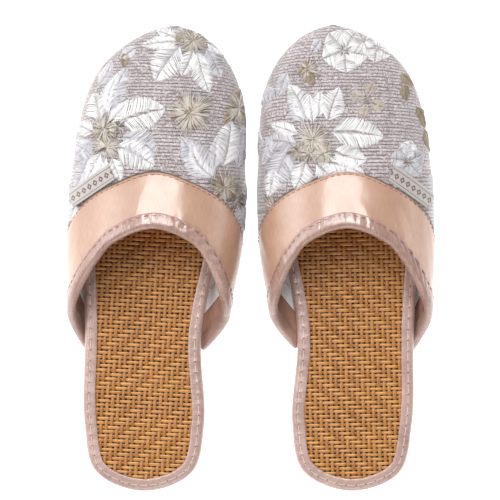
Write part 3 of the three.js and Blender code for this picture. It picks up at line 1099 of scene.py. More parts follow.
@dataclass(frozen=True)
class Rattan:
    """Split rattan: grain along each strand, tone that changes from strand to strand, and a soft gloss."""

    name: str = "rattan_strand"
    dark: Colour = (0.12, 0.032, 0.004)
    middle: Colour = (0.38, 0.145, 0.028)
    pale: Colour = (0.72, 0.4, 0.14)

    def make(self) -> bpy.types.Material:
        """Builds the material: streaks along the strand's own length, over a tone carried by the mesh, which
        also holds the painted light and shade of the strands.

        Returns:
            The material.
        """
        g = Graph(self.name)
        uv = g.coordinates("UV")
        streak = g.noise(g.stretched(uv, (UV_SPAN * 0.12, UV_SPAN * 3.2, 1)), 1.0, 4, 0.6)
        mottle = g.noise(g.coordinates("Object"), 240, 3)
        tone = g.math("MULTIPLY_ADD", streak, 0.7, g.math("MULTIPLY", mottle, 0.35))
        colour = g.ramp(tone, [(0.36, self.dark), (0.52, self.middle), (0.68, self.pale)])
        colour = g.blend(0.66, colour, g.attribute("strand_tone_and_light"))
        g.put(g.shader, "Base Color", colour)
        g.bump(streak, 0.1, 0.6)
        g.put(g.shader, "Roughness", g.math("MULTIPLY_ADD", mottle, 0.25, 0.26))
        return g.finish(specular=0.6)


@dataclass(frozen=True)
class Cotton:
    """Plain-woven cotton or felt: a fine over-and-under weave with soft slubs."""

    name: str
    light: Colour
    deep: Colour
    pitch: float = 0.7

    def make(self) -> bpy.types.Material:
        """Builds the material: the weave is the product of two sines of the cloth's own coordinates.

        Returns:
            The material.
        """
        g = Graph(self.name)
        u, v = g.millimetres()
        weave = g.math("MULTIPLY", g.wave(u, self.pitch), g.wave(v, self.pitch))
        slub = g.noise(g.coordinates("Object"), 130, 4)
        tone = g.math("MULTIPLY_ADD", weave, 0.22, slub)
        g.put(g.shader, "Base Color", g.ramp(tone, [(0.3, self.deep), (0.7, self.light)]))
        g.bump(weave, 0.08, 0.5)
        return g.finish(roughness=0.88, sheen=0.3, specular=0.25)


@dataclass(frozen=True)
class Moulded:
    """Foam rubber, sponge or pressed board: speckled tone and a pebbled skin."""

    name: str
    light: Colour
    deep: Colour
    grain: float = 500
    depth: float = 0.12
    roughness: float = 0.8

    def make(self) -> bpy.types.Material:
        """Builds the material: two scales of noise for tone, and the finer one for relief.

        Returns:
            The material.
        """
        g = Graph(self.name)
        obj = g.coordinates("Object")
        fine = g.noise(obj, self.grain, 5, 0.65)
        broad = g.noise(obj, 40, 3)
        tone = g.math("MULTIPLY_ADD", fine, 0.6, g.math("MULTIPLY", broad, 0.4))
        g.put(g.shader, "Base Color", g.ramp(tone, [(0.35, self.deep), (0.65, self.light)]))
        g.bump(fine, self.depth, 0.6)
        return g.finish(roughness=self.roughness, specular=0.35)


@dataclass(frozen=True)
class WovenLabel:
    """A grey damask label with a darker border line and a row of small diamonds."""

    name: str = "woven_label"
    ground: Colour = (0.44, 0.41, 0.39)
    motif: Colour = (0.12, 0.055, 0.055)
    depth: float = 10
    repeat: float = 3.9

    def make(self) -> bpy.types.Material:
        """Builds the material: diamonds and a border by distances from the label's middle line.

        Returns:
            The material.
        """
        g = Graph(self.name)
        u, v = g.millimetres()
        cell = g.math("ABSOLUTE", g.math("SUBTRACT", g.math("FRACT", g.math("DIVIDE", u, self.repeat)), 0.5))
        dx = g.math("MULTIPLY", cell, self.repeat)
        dy = g.math("ABSOLUTE", g.math("SUBTRACT", v, self.depth * 0.48))
        diamond = g.math("ADD", g.math("DIVIDE", dx, 1.35), g.math("DIVIDE", dy, 1.75))
        ring = g.math("ABSOLUTE", g.math("SUBTRACT", diamond, 0.8))
        shape = g.math("LESS_THAN", ring, 0.36)
        edge = g.math("MULTIPLY", g.math("GREATER_THAN", dy, 3.1), g.math("LESS_THAN", dy, 3.5))
        mask = g.math("MAXIMUM", shape, edge)
        rows = g.wave(v, 0.36)
        ribs = g.wave(u, 0.42)
        ground = g.blend(g.math("MULTIPLY_ADD", rows, 0.2, 0.3), self.ground, (0.55, 0.52, 0.49))
        g.put(g.shader, "Base Color", g.blend(g.math("MULTIPLY", mask, 0.9), ground, self.motif))
        g.bump(g.math("ADD", rows, ribs), 0.05, 0.5)
        return g.finish(roughness=0.7, sheen=0.3, specular=0.3)


class Finishes:
    """Every finish of the pair, made once."""

    def __init__(self) -> None:
        """Builds the materials."""
        rose, rose_deep = (0.55, 0.34, 0.245), (0.41, 0.235, 0.16)
        self.satin = Satin("champagne_satin", rose, rose_deep, 0.21, 1.0).make()
        tape, tape_deep = (0.6, 0.42, 0.37), (0.33, 0.2, 0.17)
        self.tape = Satin("rose_gold_tape", tape, tape_deep, 0.25, 1.0, holes_at=FOOTBED_STITCH_INSET).make()
        throat = Satin("pale_rose_tape", (0.54, 0.35, 0.29), (0.22, 0.11, 0.085), 0.19, 1.0, cloud=30)
        self.throat_tape = throat.make()
        self.facing = Satin("satin_facing", (0.5, 0.28, 0.2), (0.33, 0.16, 0.105), 0.42).make()
        self.net = RibbedNet().make()
        self.embroidery = Thread("embroidery_floss").make()
        self.seam_thread = Thread("russet_thread", (0.26, 0.075, 0.045)).make()
        self.tape_thread = Thread("rose_thread", (0.8, 0.68, 0.62)).make()
        self.rattan = Rattan().make()
        # near-black sheet under the mat: painted shade for the weave's holes
        self.hole_shade_sheet = Moulded("mat_hole_shade", (0.022, 0.012, 0.012), (0.01, 0.006, 0.006), 700).make()
        self.lining = Cotton("white_lining", (0.98, 0.975, 0.97), (0.93, 0.92, 0.91)).make()
        self.foam = Moulded("sponge_foam", (0.85, 0.83, 0.76), (0.7, 0.67, 0.6), 900).make()
        self.board = Moulded("fibre_board", (0.36, 0.28, 0.2), (0.24, 0.18, 0.12), 600).make()
        self.sole = Moulded("eva_outsole", (0.66, 0.58, 0.5), (0.55, 0.47, 0.4), 420, 0.1, 0.72).make()
        self.label = WovenLabel().make()


# ---------------------------------------------------------------- turning solids into objects


@dataclass
class Workshop:
    """Makes Blender pieces for one slipper and says what they ride on and replace."""

    side: Side
    place: Placement

    def named(self, name: str) -> str:
        """A name with the slipper's side before it."""
        return f"{self.side.word}_{name}"

    def piece(
        self,
        name: str,
        solid: Solid,
        material: bpy.types.Material,
        slot: str,
        nodes: Sequence[str] = (),
        body: str = "slipper",
        attribute: str = "thread_colour",
    ) -> bpy.types.Object:
        """A finished mesh object, placed in the pair.

        Args:
            name: The piece's name without its side.
            solid: Its points and faces, in the slipper's own frame.
            material: Its finish.
            slot: Not used.
            nodes: The frame nodes that it stands for, without their side.
            body: The frame body that it rides on, without its side.
            attribute: The name of the colour attribute, if the solid has colours.

        Returns:
            The object.
        """
        mesh = bpy.data.meshes.new(self.named(name))
        mesh.from_pydata(self.place(solid.points).tolist(), [], self._face_lists(solid.faces))
        mesh.polygons.foreach_set("use_smooth", np.ones(len(mesh.polygons), bool))
        corners = np.empty(len(mesh.loops), np.int32)
        mesh.loops.foreach_get("vertex_index", corners)
        if solid.uv is not None:
            layer = mesh.uv_layers.new(name="cloth")
            layer.data.foreach_set("uv", (solid.uv[corners] / UV_SPAN).astype(np.float32).ravel())
        if solid.colour is not None:
            colours = np.c_[solid.colour, np.ones(len(solid.colour))]
            layer = mesh.color_attributes.new(attribute, "FLOAT_COLOR", "POINT")
            layer.data.foreach_set("color", colours.astype(np.float32).ravel())
        mesh.validate()
        mesh.update()
        obj = bpy.data.objects.new(self.named(name), mesh)
        bpy.context.scene.collection.objects.link(obj)
        mesh.materials.append(material)
        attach(obj, self.named(body))
        if nodes:
            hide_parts(*[self.named(n) for n in nodes])
        LOG.info("%s: %d faces", obj.name, len(mesh.polygons))
        return obj

    def _face_lists(self, groups: Sequence[Array]) -> list[list[int]]:
        """Faces as lists, turned round on the mirrored side, with doubled corners dropped.

        Args:
            groups: Arrays of quads or triangles.

        Returns:
            One list of point numbers for each face.
        """
        out: list[list[int]] = []
        for group in groups:
            rows = np.asarray(group)
            if self.side is Side.RIGHT:
                rows = rows[:, ::-1]
            if rows.shape[1] == 4:
                flat = (rows == np.roll(rows, -1, axis=1)).any(1)
                out += rows[~flat].tolist()
                out += [list(dict.fromkeys(r)) for r in rows[flat].tolist()]
            else:
                out += rows.tolist()
        return out

    def sheet_of_cloth(self, obj: bpy.types.Object, area: float, rests_on: str, long: float = 0.0) -> None:
        """Reads the piece's cloth coordinates and does nothing more with them.

        Args:
            obj: The piece, whose cloth coordinates give the rectangle that it is cut from.
            area: Not used.
            rests_on: Not used.
            long: Not used.
        """
        uv = np.empty(len(obj.data.loops) * 2, np.float32)
        obj.data.uv_layers[0].data.foreach_get("uv", uv)


def shell(last: Last, pattern: Array, outer: Array, inner: Array) -> tuple[Solid, float]:
    """A layer of the upper between two distances out from its face.

    Args:
        last: The form.
        pattern: Pattern points as (row, column, 2).
        outer: Distance of the outside, as (row, column).
        inner: Distance of the inside, as (row, column).

    Returns:
        The closed solid and the flat area of its outside, in square metres.
    """
    u, v = pattern[..., 0], pattern[..., 1]
    base, normal = last.surface(u, v), last.normal(u, v)
    outside = base + normal * outer[..., None]
    a = outside.reshape(-1, 3)[grid_faces(*pattern.shape[:2])]
    area = 0.5 * np.linalg.norm(np.cross(a[:, 2] - a[:, 0], a[:, 3] - a[:, 1]), axis=1).sum() * MM * MM
    coords = last.true_pattern(u, v).reshape(-1, 2)
    return plate(outside, base + normal * inner[..., None], coords), float(area)


# ---------------------------------------------------------------- sole


@dataclass
class Sole:
    """Outsole, filler, board, cushion, woven mat and the tape round the footbed."""

    shop: Workshop
    last: Last
    finish: Finishes
    outsole_inset: float = 0.8
    groove_pitch: float = 15
    groove_width: float = 3
    groove_depth: float = 1.2
    tread_rim: float = 9
    footbed_z: float = 11.0
    footbed_top: float = 18.7
    mat_z: float = 17.25
    cross_pitch: float = 2.45
    warp_pitch: float = 2.95
    cross_half_width: float = 0.84
    warp_half_width: float = 0.95
    weave_turn: float = -2.2
    stitch_pitch: float = FOOTBED_STITCH_PITCH
    stitch_inset: float = FOOTBED_STITCH_INSET
    tape_reach: float = 7.0
    mat_inset: float = 4.2

    def build(self) -> None:
        """Builds every piece of the sole."""
        self._outsole()
        self._filler()
        self._inner_layers()
        self._mat()
        self._binding()

    def _slab(
        self,
        profile: Sequence[Point],
        inset_at: Callable[[Array], Array] | None = None,
        bottom: Callable[[Array], Array] | None = None,
        count: int = 150,
        across: int = 24,
    ) -> Solid:
        """A flat layer with a shaped edge.

        Both halves of the outline are read at the same steps, so each step gives a pair of points. The
        profile is carried round the edge, and straight rows between the pairs close the top and the bottom.

        Args:
            profile: (inset, height) pairs from the top's edge, round the side, to the bottom's edge.
            inset_at: Extra inset at each outline point, or None.
            bottom: Height of the bottom at plan points, or None for flat.
            count: Steps along each half.
            across: Points in each row between the halves.

        Returns:
            The closed solid.
        """
        shares = 0.5 * (1 - np.cos(np.linspace(0, math.pi, count + 1))) / 2
        loop = np.r_[shares, (1 - shares[1:-1])[::-1]]
        extra = inset_at(self.last.edge.at(loop)) if inset_at else np.zeros(len(loop))
        rings = [np.c_[self.last.outline(inset + extra, loop), np.full(len(loop), z)] for inset, z in profile]
        points = [np.stack(rings).reshape(-1, 3)]
        n, levels = len(loop), len(profile)
        faces = [grid_faces(levels, n, True)[:, ::-1]]
        right = np.arange(count + 1)
        left = (n - right) % n
        t = np.linspace(0, 1, across + 2)[1:-1]
        start = levels * n
        for level, flip in ((0, False), (levels - 1, True)):
            ring = rings[level]
            a, b = ring[right[1:-1]], ring[left[1:-1]]
            inner = mix(a[:, None, :], b[:, None, :], t[None, :, None])
            if flip and bottom is not None:
                inner[..., 2] = bottom(inner[..., :2])
            points.append(inner.reshape(-1, 3))
            rows = count - 1
            ids = start + np.arange(rows * across).reshape(rows, across)
            full = np.c_[level * n + right[1:-1], ids, level * n + left[1:-1]]
            quads = np.stack([full[:-1, :-1], full[:-1, 1:], full[1:, 1:], full[1:, :-1]], -1).reshape(-1, 4)
            ends = []
            for end, turn in ((0, 1), (-1, -1)):
                row = full[end]
                tri = np.stack([np.full(len(row) - 1, level * n + right[end]), row[1:], row[:-1]], -1)
                ends.append(tri[:, ::turn])
            faces += [quads, *[e[:, ::-1] for e in ends]] if flip else [quads[:, ::-1], *ends]
            start += rows * across
        return Solid(np.vstack(points), faces)

    def _tread(self, p: Array) -> Array:
        """Height of the outsole's underside: sloped-sided cross grooves that stop short of the rim.

        Args:
            p: Plan points with x and y last.

        Returns:
            Heights of the same shape.
        """
        span = self.last.length - 2 * self.tread_rim - self.groove_width
        count = math.floor(span / self.groove_pitch)
        first = (self.last.length - count * self.groove_pitch) / 2
        k = np.round((p[..., 1] - first) / self.groove_pitch)
        near = np.abs(p[..., 1] - first - np.clip(k, 0, count) * self.groove_pitch)
        cut = 1 - smooth(near, self.groove_width / 2 - 0.5, self.groove_width / 2 + 0.5)
        edge = self.last.outline(0.0, np.arange(720) / 720)
        gap = np.sqrt(((p[..., None, :] - edge) ** 2).sum(-1)).min(-1)
        return self.groove_depth * cut * smooth(gap, self.tread_rim - 1, self.tread_rim + 1.5)

    def _outsole(self) -> None:
        """The outsole: rounded edges and a grooved tread."""
        i, top = self.outsole_inset, self.last.outsole
        upper_edge = [(i + 1.2, top), (i + 0.4, top - 0.12), (i + 0.05, top - 0.5), (i - 0.15, top - 1.6)]
        lower_edge = [(i - 0.2, top / 2), (i - 0.1, 1.4), (i + 0.25, 0.5), (i + 1.0, 0.0), (i + 3.0, 0.0)]
        solid = self._slab(upper_edge + lower_edge, bottom=self._tread, count=420, across=30)
        self.shop.piece("outsole_moulding", solid, self.finish.sole, "outsole_rubber", ["outsole"])

    def _filler(self) -> None:
        """The filler: full width behind the upper, and inside the turn-in under it."""
        low, high = self.last.outsole + 0.05, self.footbed_z - 0.1
        rear = self.last.leg_rear

        def step(p: Array) -> Array:
            """Inset that grows where the turn-in begins."""
            return 15.2 * smooth(p[:, 1], rear - 4.2, rear - 1.4)

        profile = [(1.6, high), (0.9, high - 0.5), (0.7, (low + high) / 2), (0.9, low + 0.5), (1.6, low)]
        self.shop.piece("filler_sheet", self._slab(profile, step), self.finish.foam, "foam", ["sole_filler"])

    def _inner_layers(self) -> None:
        """Board and cushion, which the tape hides."""
        board = [(1.2, 13.3), (0.95, 13.1), (0.95, 12.0), (1.2, 11.85)]
        cushion = [(2.4, 16.5), (1.3, 16.1), (1.0, 15.0), (1.3, 13.9), (2.0, 13.5)]
        self.shop.piece("board", self._slab(board), self.finish.board, "insole_board", ["insole_board"])
        pad = self.shop.piece("cushion", self._slab(cushion), self.finish.foam, "foam", ["footbed_cushion"])

    def _chords(self, edge: Array, levels: Array) -> tuple[Array, Array]:
        """Where lines of constant second coordinate enter and leave a closed outline.

        Args:
            edge: Outline points.
            levels: The second coordinate of each line.

        Returns:
            The lowest and highest first coordinate on each line, crossed or not.
        """
        a, b = edge, np.roll(edge, -1, axis=0)
        t = (levels[:, None] - a[None, :, 1]) / np.where(a[:, 1] == b[:, 1], 1e-9, b[:, 1] - a[:, 1])[None, :]
        x = a[None, :, 0] + (b - a)[None, :, 0] * t
        hit = (t >= 0) & (t < 1)
        return np.where(hit, x, 1e9).min(1), np.where(hit, x, -1e9).max(1)

    def _strands(self, edge: Array, crosswise: bool, seed: int) -> Solid:
        """One set of strands of the mat.

        Each strand is a flat lens carried along a line that rises and dips over two strands at a time, and
        each next strand shifts that wave by one, which makes the twill's diagonal.

        Args:
            edge: The mat's outline in the weave's own axes.
            crosswise: Whether the strands run across the foot.
            seed: Seed of the strands' widths, tones and wander.

        Returns:
            All the strands as one solid.
        """
        rng = np.random.default_rng(seed)
        pitches = (self.cross_pitch, self.warp_pitch)
        mine, other = pitches if crosswise else pitches[::-1]
        line = edge if crosswise else edge[:, ::-1]
        k = np.arange(math.floor(line[:, 1].min() / mine), math.ceil(line[:, 1].max() / mine) + 1)
        low, high = self._chords(line, k * mine)
        keep = high - low > 8
        k, low, high = k[keep], low[keep], high[keep]
        steps = int(np.ceil((high - low).max() / other * 4))
        s = low[:, None] + (high - low)[:, None] * np.linspace(0, 1, steps + 1)[None, :]
        phase = (s / other - k[:, None] - 0.5) if crosswise else (k[:, None] - s / other - 0.5)
        wave = np.cos(TAU * phase / 4)
        rise = np.tanh(2.2 * wave) * 0.34 * (1 if crosswise else -1)
        across = k[:, None] * mine + rng.normal(0, 0.06, k.shape)[:, None]
        across = across + 0.05 * wander(s / other + k[:, None] * 3.1, seed + 1, 4, 9)
        z = self.mat_z + rise + rng.normal(0, 0.03, k.shape)[:, None]
        half_width = self.cross_half_width if crosswise else self.warp_half_width
        width = half_width * rng.uniform(0.88, 1.08, k.shape)[:, None]
        width = width * (1 + 0.06 * wander(s + k[:, None] * 7.7, seed + 2, 4, 14))
        if not crosswise:
            rows = np.linspace(edge[:, 1].min(), edge[:, 1].max(), 500)
            left, right = self._chords(edge, rows)
            across = np.clip(across, np.interp(s, rows, left) + 0.9, np.interp(s, rows, right) - 0.9)
        crown = [(-0.45, 0.3), (0, 0.33), (0.45, 0.3)]
        lens = np.array([(-1, -0.04), (-0.85, 0.17), *crown, (0.85, 0.17), (1, -0.04), (0, -0.2)])
        offset = lens[None, None, :, 0] * width[..., None]
        lift = lens[None, None, :, 1] * np.ones_like(width)[..., None]
        first = np.broadcast_to(s[..., None], offset.shape)
        second = across[..., None] + offset
        plan = (first, second) if crosswise else (second, first)
        points = np.stack([plan[0], plan[1], z[..., None] + lift], -1)
        n, m, c = points.shape[:3]
        quads = grid_faces(m, c, True)
        if not crosswise:
            quads = quads[:, ::-1]
        faces = (quads[None] + (np.arange(n) * m * c)[:, None, None]).reshape(-1, 4)
        uv = np.stack([first, offset + k[:, None, None] * 5.3], -1)
        tone = np.clip(rng.normal(0.5, 0.2, n), 0, 1)[:, None, None]
        tone = tone + 0.16 * wander(s + k[:, None] * 31.0, seed + 3, 4, 33)[..., None]
        # painted light and shade: a strand is paler where it rides up over the other set and darker where it
        # dips under it
        painted_float_light = 0.5 + 0.5 * np.tanh(2.2 * wave)[..., None] * (1 if crosswise else -1)
        tone = 0.2 + 0.42 * tone + 0.4 * painted_float_light + (0.1 if crosswise else -0.2)
        tone = np.clip(tone, 0, 1) * np.ones((1, 1, c))
        dark, pale = np.array([0.17, 0.045, 0.005]), np.array([0.56, 0.25, 0.058])
        colour = mix(dark, pale, tone[..., None])
        # painted highlight: a pale line along one edge of each cross strand, brighter where the strand rides
        # high
        lit = np.array([0, 0, 0, 0, 0.15, 0.8, 0.8, 0]) if crosswise else np.zeros(c)
        lit = lit[None, None, :, None] * (0.35 + 0.65 * painted_float_light[..., None])
        colour = mix(colour, np.array([0.9, 0.62, 0.3]), lit)
        # painted shade: from the middle of the mat towards the toe the strands turn redder, where the upper
        # shades them, and behind the middle they stay golden
        under_upper_shade = smooth(points[..., 1:2], 0, 55)
        colour = colour * mix(np.array([1.12, 1.08, 0.98]), np.array([2.5, 1.25, 0.5]), under_upper_shade)
        colour = np.clip(colour, 0, 0.95)
        return Solid(points.reshape(-1, 3), [faces], uv.reshape(-1, 2), colour.reshape(-1, 3))

    def _mat(self) -> None:
        """The woven mat: two sets of strands, clipped to the tape's inner edge, over a near-black sheet that
        paints the shade seen through the weave's holes.
        """
        a = math.radians(self.weave_turn)
        turn = np.array([[math.cos(a), math.sin(a)], [-math.sin(a), math.cos(a)]])
        middle = np.array([0.0, self.last.length / 2])
        edge = (self.last.outline(self.mat_inset, np.arange(900) / 900) - middle) @ turn.T
        for name, crosswise, seed in (("mat_cross_strands", True, 11), ("mat_long_strands", False, 23)):
            solid = self._strands(edge, crosswise, seed + self.shop.side.value)
            solid.points[:, :2] = solid.points[:, :2] @ turn + middle
            nodes = ["woven_mat"] if crosswise else []
            self.shop.piece(name, solid, self.finish.rattan, "rattan_mat", nodes, attribute="strand_tone_and_light")
        # a near-black sheet under the strands: painted shade that shows through the weave's holes
        under = [(1.4, 16.78), (1.2, 16.7), (1.2, 16.6), (1.5, 16.55)]
        self.shop.piece("mat_hole_shade", self._slab(under), self.finish.hole_shade_sheet, "rattan_mat")

    def _binding(self) -> None:
        """The tape folded round the footbed's edge, puckered between its stitches, and the stitches."""
        low, top = self.footbed_z, self.footbed_top
        reach = self.tape_reach
        on_mat = [(reach, top - 0.62), (reach + 0.05, top - 0.25), (6.7, top), (5.6, top - 0.05)]
        on_mat += [(4.3, top - 0.02)]
        valley = [(self.stitch_inset, top - 0.25), (2.6, top - 0.05), (1.7, top - 0.3), (1.0, top - 0.8)]
        side = [(0.4, top - 1.6), (0.0, top - 3.0), (0.0, low + 2.0), (0.2, low + 0.9), (0.8, low + 0.25)]
        under = [(1.8, low), (reach, low), (reach, low + 0.55), (2.0, low + 0.6)]
        inside = [(0.75, low + 1.1), (0.6, top - 3.0), (1.0, top - 1.75), (2.4, top - 0.75)]
        section = np.array(on_mat + valley + side + under + inside)
        outer_points = len(on_mat + valley)
        count = 900
        shares = np.arange(count) / count
        total = self.last.edge.length
        run = shares * total
        beat = np.cos(TAU * run / self.stitch_pitch)[:, None]
        soft = wander(run, 5 + self.shop.side.value, 5, 47)[:, None]
        on_top = smooth(section[:, 1], top - 2.4, top - 0.6)[None, :] * (section[:, 0] > 0.1)[None, :]
        near = hump(section[:, 0], self.stitch_inset, 1.6)[None, :]
        z = section[None, :, 1] + on_top * (0.1 * soft - 0.16 * beat * near)
        uneven = on_top * 0.1 * wander(run, 9, 4, 23)[:, None] * (section[None, :, 0] > 5)
        inset = section[None, :, 0] + uneven
        rings = self.last.outline(inset, np.repeat(shares[:, None], len(section), 1))
        stations = np.concatenate([rings, z[..., None]], -1)
        across = reach - path_length(section)
        across[:outer_points] = section[:outer_points, 0]
        along = run[:, None] / total * self.stitch_pitch * round(total / self.stitch_pitch)
        uv = np.stack(np.broadcast_arrays(along, across[None, :]), -1)
        solid = ring_of_tape(stations, uv)
        self.shop.piece("footbed_tape", solid, self.finish.tape, "binding_tape", ["footbed_binding"])
        self._footbed_stitches()

    def _footbed_stitches(self) -> None:
        """Long stitches that lie in a shallow valley of the tape, and dive at each needle hole."""
        total = self.last.edge.length
        count = round(total / self.stitch_pitch)
        shares = (np.arange(count) + 1.0) / count
        p = self.last.outline(self.stitch_inset, shares)
        t = self.last.edge.tangent(shares)
        places = np.c_[p, np.full(count, self.footbed_top - 0.02)]
        up = np.tile([0.0, 0.0, 1.0], (count, 1))
        rng = np.random.default_rng(41)
        sizes = np.c_[rng.uniform(4.7, 5.2, count), np.full(count, 0.36), np.full(count, 0.34)]
        solid = stitches(places, np.c_[t, np.zeros(count)], up, sizes)
        self.shop.piece("footbed_stitches", solid, self.finish.tape_thread, "thread", ["footbed_stitching"])


# ---------------------------------------------------------------- upper


@dataclass
class Upper:
    """The vamp and the satin collar, layer by layer, with the throat's tape, seams and label."""

    shop: Workshop
    last: Last
    finish: Finishes
    cover: float = 0.7
    ply: float = 0.2
    padding: float = 1.2
    lining: float = 0.4
    proud: float = 0.5
    tape: float = 0.6
    tape_width: float = 7.0
    gap: float = 0.3
    vamp_rows: int = 220
    vamp_columns: int = 84
    collar_rows: int = 260
    collar_columns: int = 34
    folds: Sequence[tuple[float, float, float, float]] = ()
    tape_fold: float = 0.5
    tape_span: Point = (0.072, 0.928)
    tape_stretch: float = 1.22
    throat_pitch: float = 4.2
    seam_pitch: float = 3.3
    label_place: float = 0.613
    label_length: float = 29
    label_depth: float = 10

    def build(self) -> None:
        """Builds every piece of the upper."""
        self._vamp()
        self._collar()
        self._throat()
        self._seam()
        self._label()

    @property
    def lining_out(self) -> float:
        """Where the lining's outer face lies, out from the upper's face."""
        return -self.cover - self.ply - self.padding - self.ply

    def _foam(self, name: str, pattern: Array, node: str) -> None:
        """A layer of foam, one ply inside the cover.

        Args:
            name: The piece's name.
            pattern: Its pattern points.
            node: The frame node that it stands for.
        """
        outer = np.full(pattern.shape[:2], -self.cover - self.ply)
        solid, _ = shell(self.last, pattern, outer, outer - self.padding)
        pad = self.shop.piece(name, solid, self.finish.foam, "foam", [node])

    @staticmethod
    def _away_from_legs(along: Array) -> Array:
        """One over the foot, and zero near both ends of the collar, where it turns in."""
        return smooth(along, 0.05, 0.14)[:, None] * (1 - smooth(along, 0.86, 0.95))[:, None]

    def _vamp(self) -> None:
        """Net cover, foam and cotton lining over the toes."""
        along = np.linspace(0, 1, self.vamp_rows + 1)
        share = np.linspace(0, 1, self.vamp_columns + 1)
        pattern = self.last.vamp(along, share)
        u, v = pattern[..., 0], pattern[..., 1]
        soft = 0.16 * wander(u * 0.7 + v * 0.4, 3, 4, 70) + 0.1 * wander(v - u * 0.3, 4, 4, 45)
        edge = np.minimum(share[None, :] * 60, 1)
        calm = np.minimum(edge, (1 - share[None, :]) * 6).clip(0, 1)
        outer = soft * calm - 0.25 * (1 - edge)
        solid, area = shell(self.last, pattern, outer, np.full_like(outer, -self.cover))
        obj = self.shop.piece("vamp_net", solid, self.finish.net, "embroidered_net", ["vamp_cover"])
        self.shop.sheet_of_cloth(obj, area, "vamp_foam")
        self._foam("vamp_foam", pattern[::3, ::3], "vamp_padding")
        fine = pattern[::2, ::2]
        flat = np.full(fine.shape[:2], self.lining_out)
        solid, area = shell(self.last, fine, flat, flat - self.lining)
        obj = self.shop.piece("vamp_cotton", solid, self.finish.lining, "white_lining", ["vamp_lining"])
        self.shop.sheet_of_cloth(obj, area, "vamp_foam")

    def _collar(self) -> None:
        """Satin cover, foam and satin facing of the collar."""
        along = np.linspace(0, 1, self.collar_rows + 1)
        width = self.last.collar_width(along)[:, None]
        forward = width * np.linspace(0, 1, self.collar_columns + 1)
        pattern = self.last.collar(along, forward)
        run = along[:, None] * self.last.throat.length
        to_front = width - forward
        roll = 0.55 * (1 - np.sqrt(np.clip(1 - (1 - np.minimum(to_front / 1.3, 1)) ** 2, 0, 1)))
        seed = self.shop.side.value
        pull = hump(to_front, 1.6, 1.3) * (0.1 + 0.07 * np.cos(TAU * run / 3.4))
        gather = hump(forward - self.tape_width, 1, 3.5) * 0.13 * wander(run, 31 + seed, 5, 17)
        drift = 0.2 * wander(run + forward * 0.8, 33 + seed, 4, 61)
        drift = drift * np.sin(math.pi * np.clip(forward / width, 0, 1))
        for place, slant, spread, height in self.folds:
            across = (along[:, None] - place) * self.last.throat.length + slant * forward
            drift = drift + height * hump(across, 0, spread)
        calm = self._away_from_legs(along)
        outer = self.proud + (gather + drift * smooth(to_front, 0, 6)) * calm - roll - pull
        inner = np.full_like(outer, -self.cover)
        solid, area = shell(self.last, pattern, outer, inner)
        obj = self.shop.piece("collar_satin", solid, self.finish.satin, "satin", ["collar_cover"])
        self.shop.sheet_of_cloth(obj, area, "collar_foam")
        self._foam("collar_foam", pattern[::4, ::3], "collar_padding")
        self._inner_collar("collar_lining", (0.0, 1.0), False)
        self._inner_collar("medial_cotton", (0.0, 0.26), True)
        self._inner_collar("lateral_cotton", (0.74, 1.0), True)

    def _inner_collar(self, name: str, span: Point, cotton: bool) -> None:
        """One strip of cloth on the collar's inside: the satin facing, or the cotton in front of it on a leg.

        Args:
            name: The piece's name.
            span: Shares of the way along the collar where the strip starts and ends.
            cotton: Whether it is the cotton.
        """
        along = np.linspace(*span, round(140 * (span[1] - span[0])))
        width = self.last.collar_width(along)[:, None]
        leg = 1 - smooth(along, 0.2, 0.27) * (1 - smooth(along, 0.73, 0.8))
        split = (1 - 0.42 * leg)[:, None]
        low, high = (split + 0.012, 1.0) if cotton else (0.0, split)
        forward = (low + (high - low) * np.linspace(0, 1, 15)[None, :]) * width
        calm = self._away_from_legs(along)
        ripple = 0.12 * wander(along[:, None] * self.last.throat.length + forward, 51, 4, 29) * calm - 0.05
        flat = np.full(forward.shape, self.lining_out)
        inner = flat - self.lining + np.minimum(ripple, 0.1)
        solid, area = shell(self.last, self.last.collar(along, forward), flat, inner)
        if cotton:
            obj = self.shop.piece(name, solid, self.finish.lining, "white_lining")
        else:
            obj = self.shop.piece(name, solid, self.finish.facing, "satin_facing", ["collar_facing"])
        long = (span[1] - span[0]) * self.last.throat.length
        self.shop.sheet_of_cloth(obj, area, "collar_foam", long)

    def _throat(self) -> None:
        """Tape folded over the throat's edge, puckered along its stitch line, with its stitches."""
        w, t = self.tape_width, self.tape
        out = self.proud + self.gap
        face = out + t
        inn = self.lining_out - self.lining - self.gap
        inside = [(w, inn), (0.2, inn), (-0.55, inn + 0.5), (-0.8, inn + 1.2), (-0.8, out - 0.9)]
        under = [(-0.5, out - 0.25), (0.3, out), (w, out), (w + 0.02, face - 0.2), (w - 0.5, face)]
        over = [(w - 1.5, face - 0.12), (w - 2.6, face + 0.02), (3.2, face + 0.08), (1.6, face + 0.05)]
        edge = [(0.2, face - 0.12), (-0.8, face - 0.7), (-1.35, out - 0.7), (-1.4, (out + inn) / 2)]
        facing = [(-1.35, inn + 0.6), (-0.9, inn - 0.2), (0.0, inn - t), (w - 0.4, inn - t)]
        facing += [(w, inn - t + 0.2)]
        section = np.array(inside + under + over + edge + facing)
        along = np.linspace(*self.tape_span, 520)
        run = along * self.last.throat.length * self.tape_stretch
        outside = smooth(section[:, 1], 0, face)[None, :]
        beat = np.cos(TAU * run / self.throat_pitch)[:, None]
        pucker = hump(section[:, 0] - w, -1.5, 1.6)[None, :] * beat * -0.1
        ruck = 0.13 * wander(run, 61 + self.shop.side.value, 6, 19)[:, None]
        twist = hump(along, self.tape_fold, 0.07)[:, None] * 0.45
        ruck = ruck + twist * np.sin(TAU * (run[:, None] / 7.5 + section[None, :, 0] / 6.5))
        lift = section[None, :, 1] + outside * (pucker + ruck)
        forward = np.repeat(section[None, :, 0], len(along), 0)
        stations = self.last.lifted(self.last.collar(along, forward), lift)
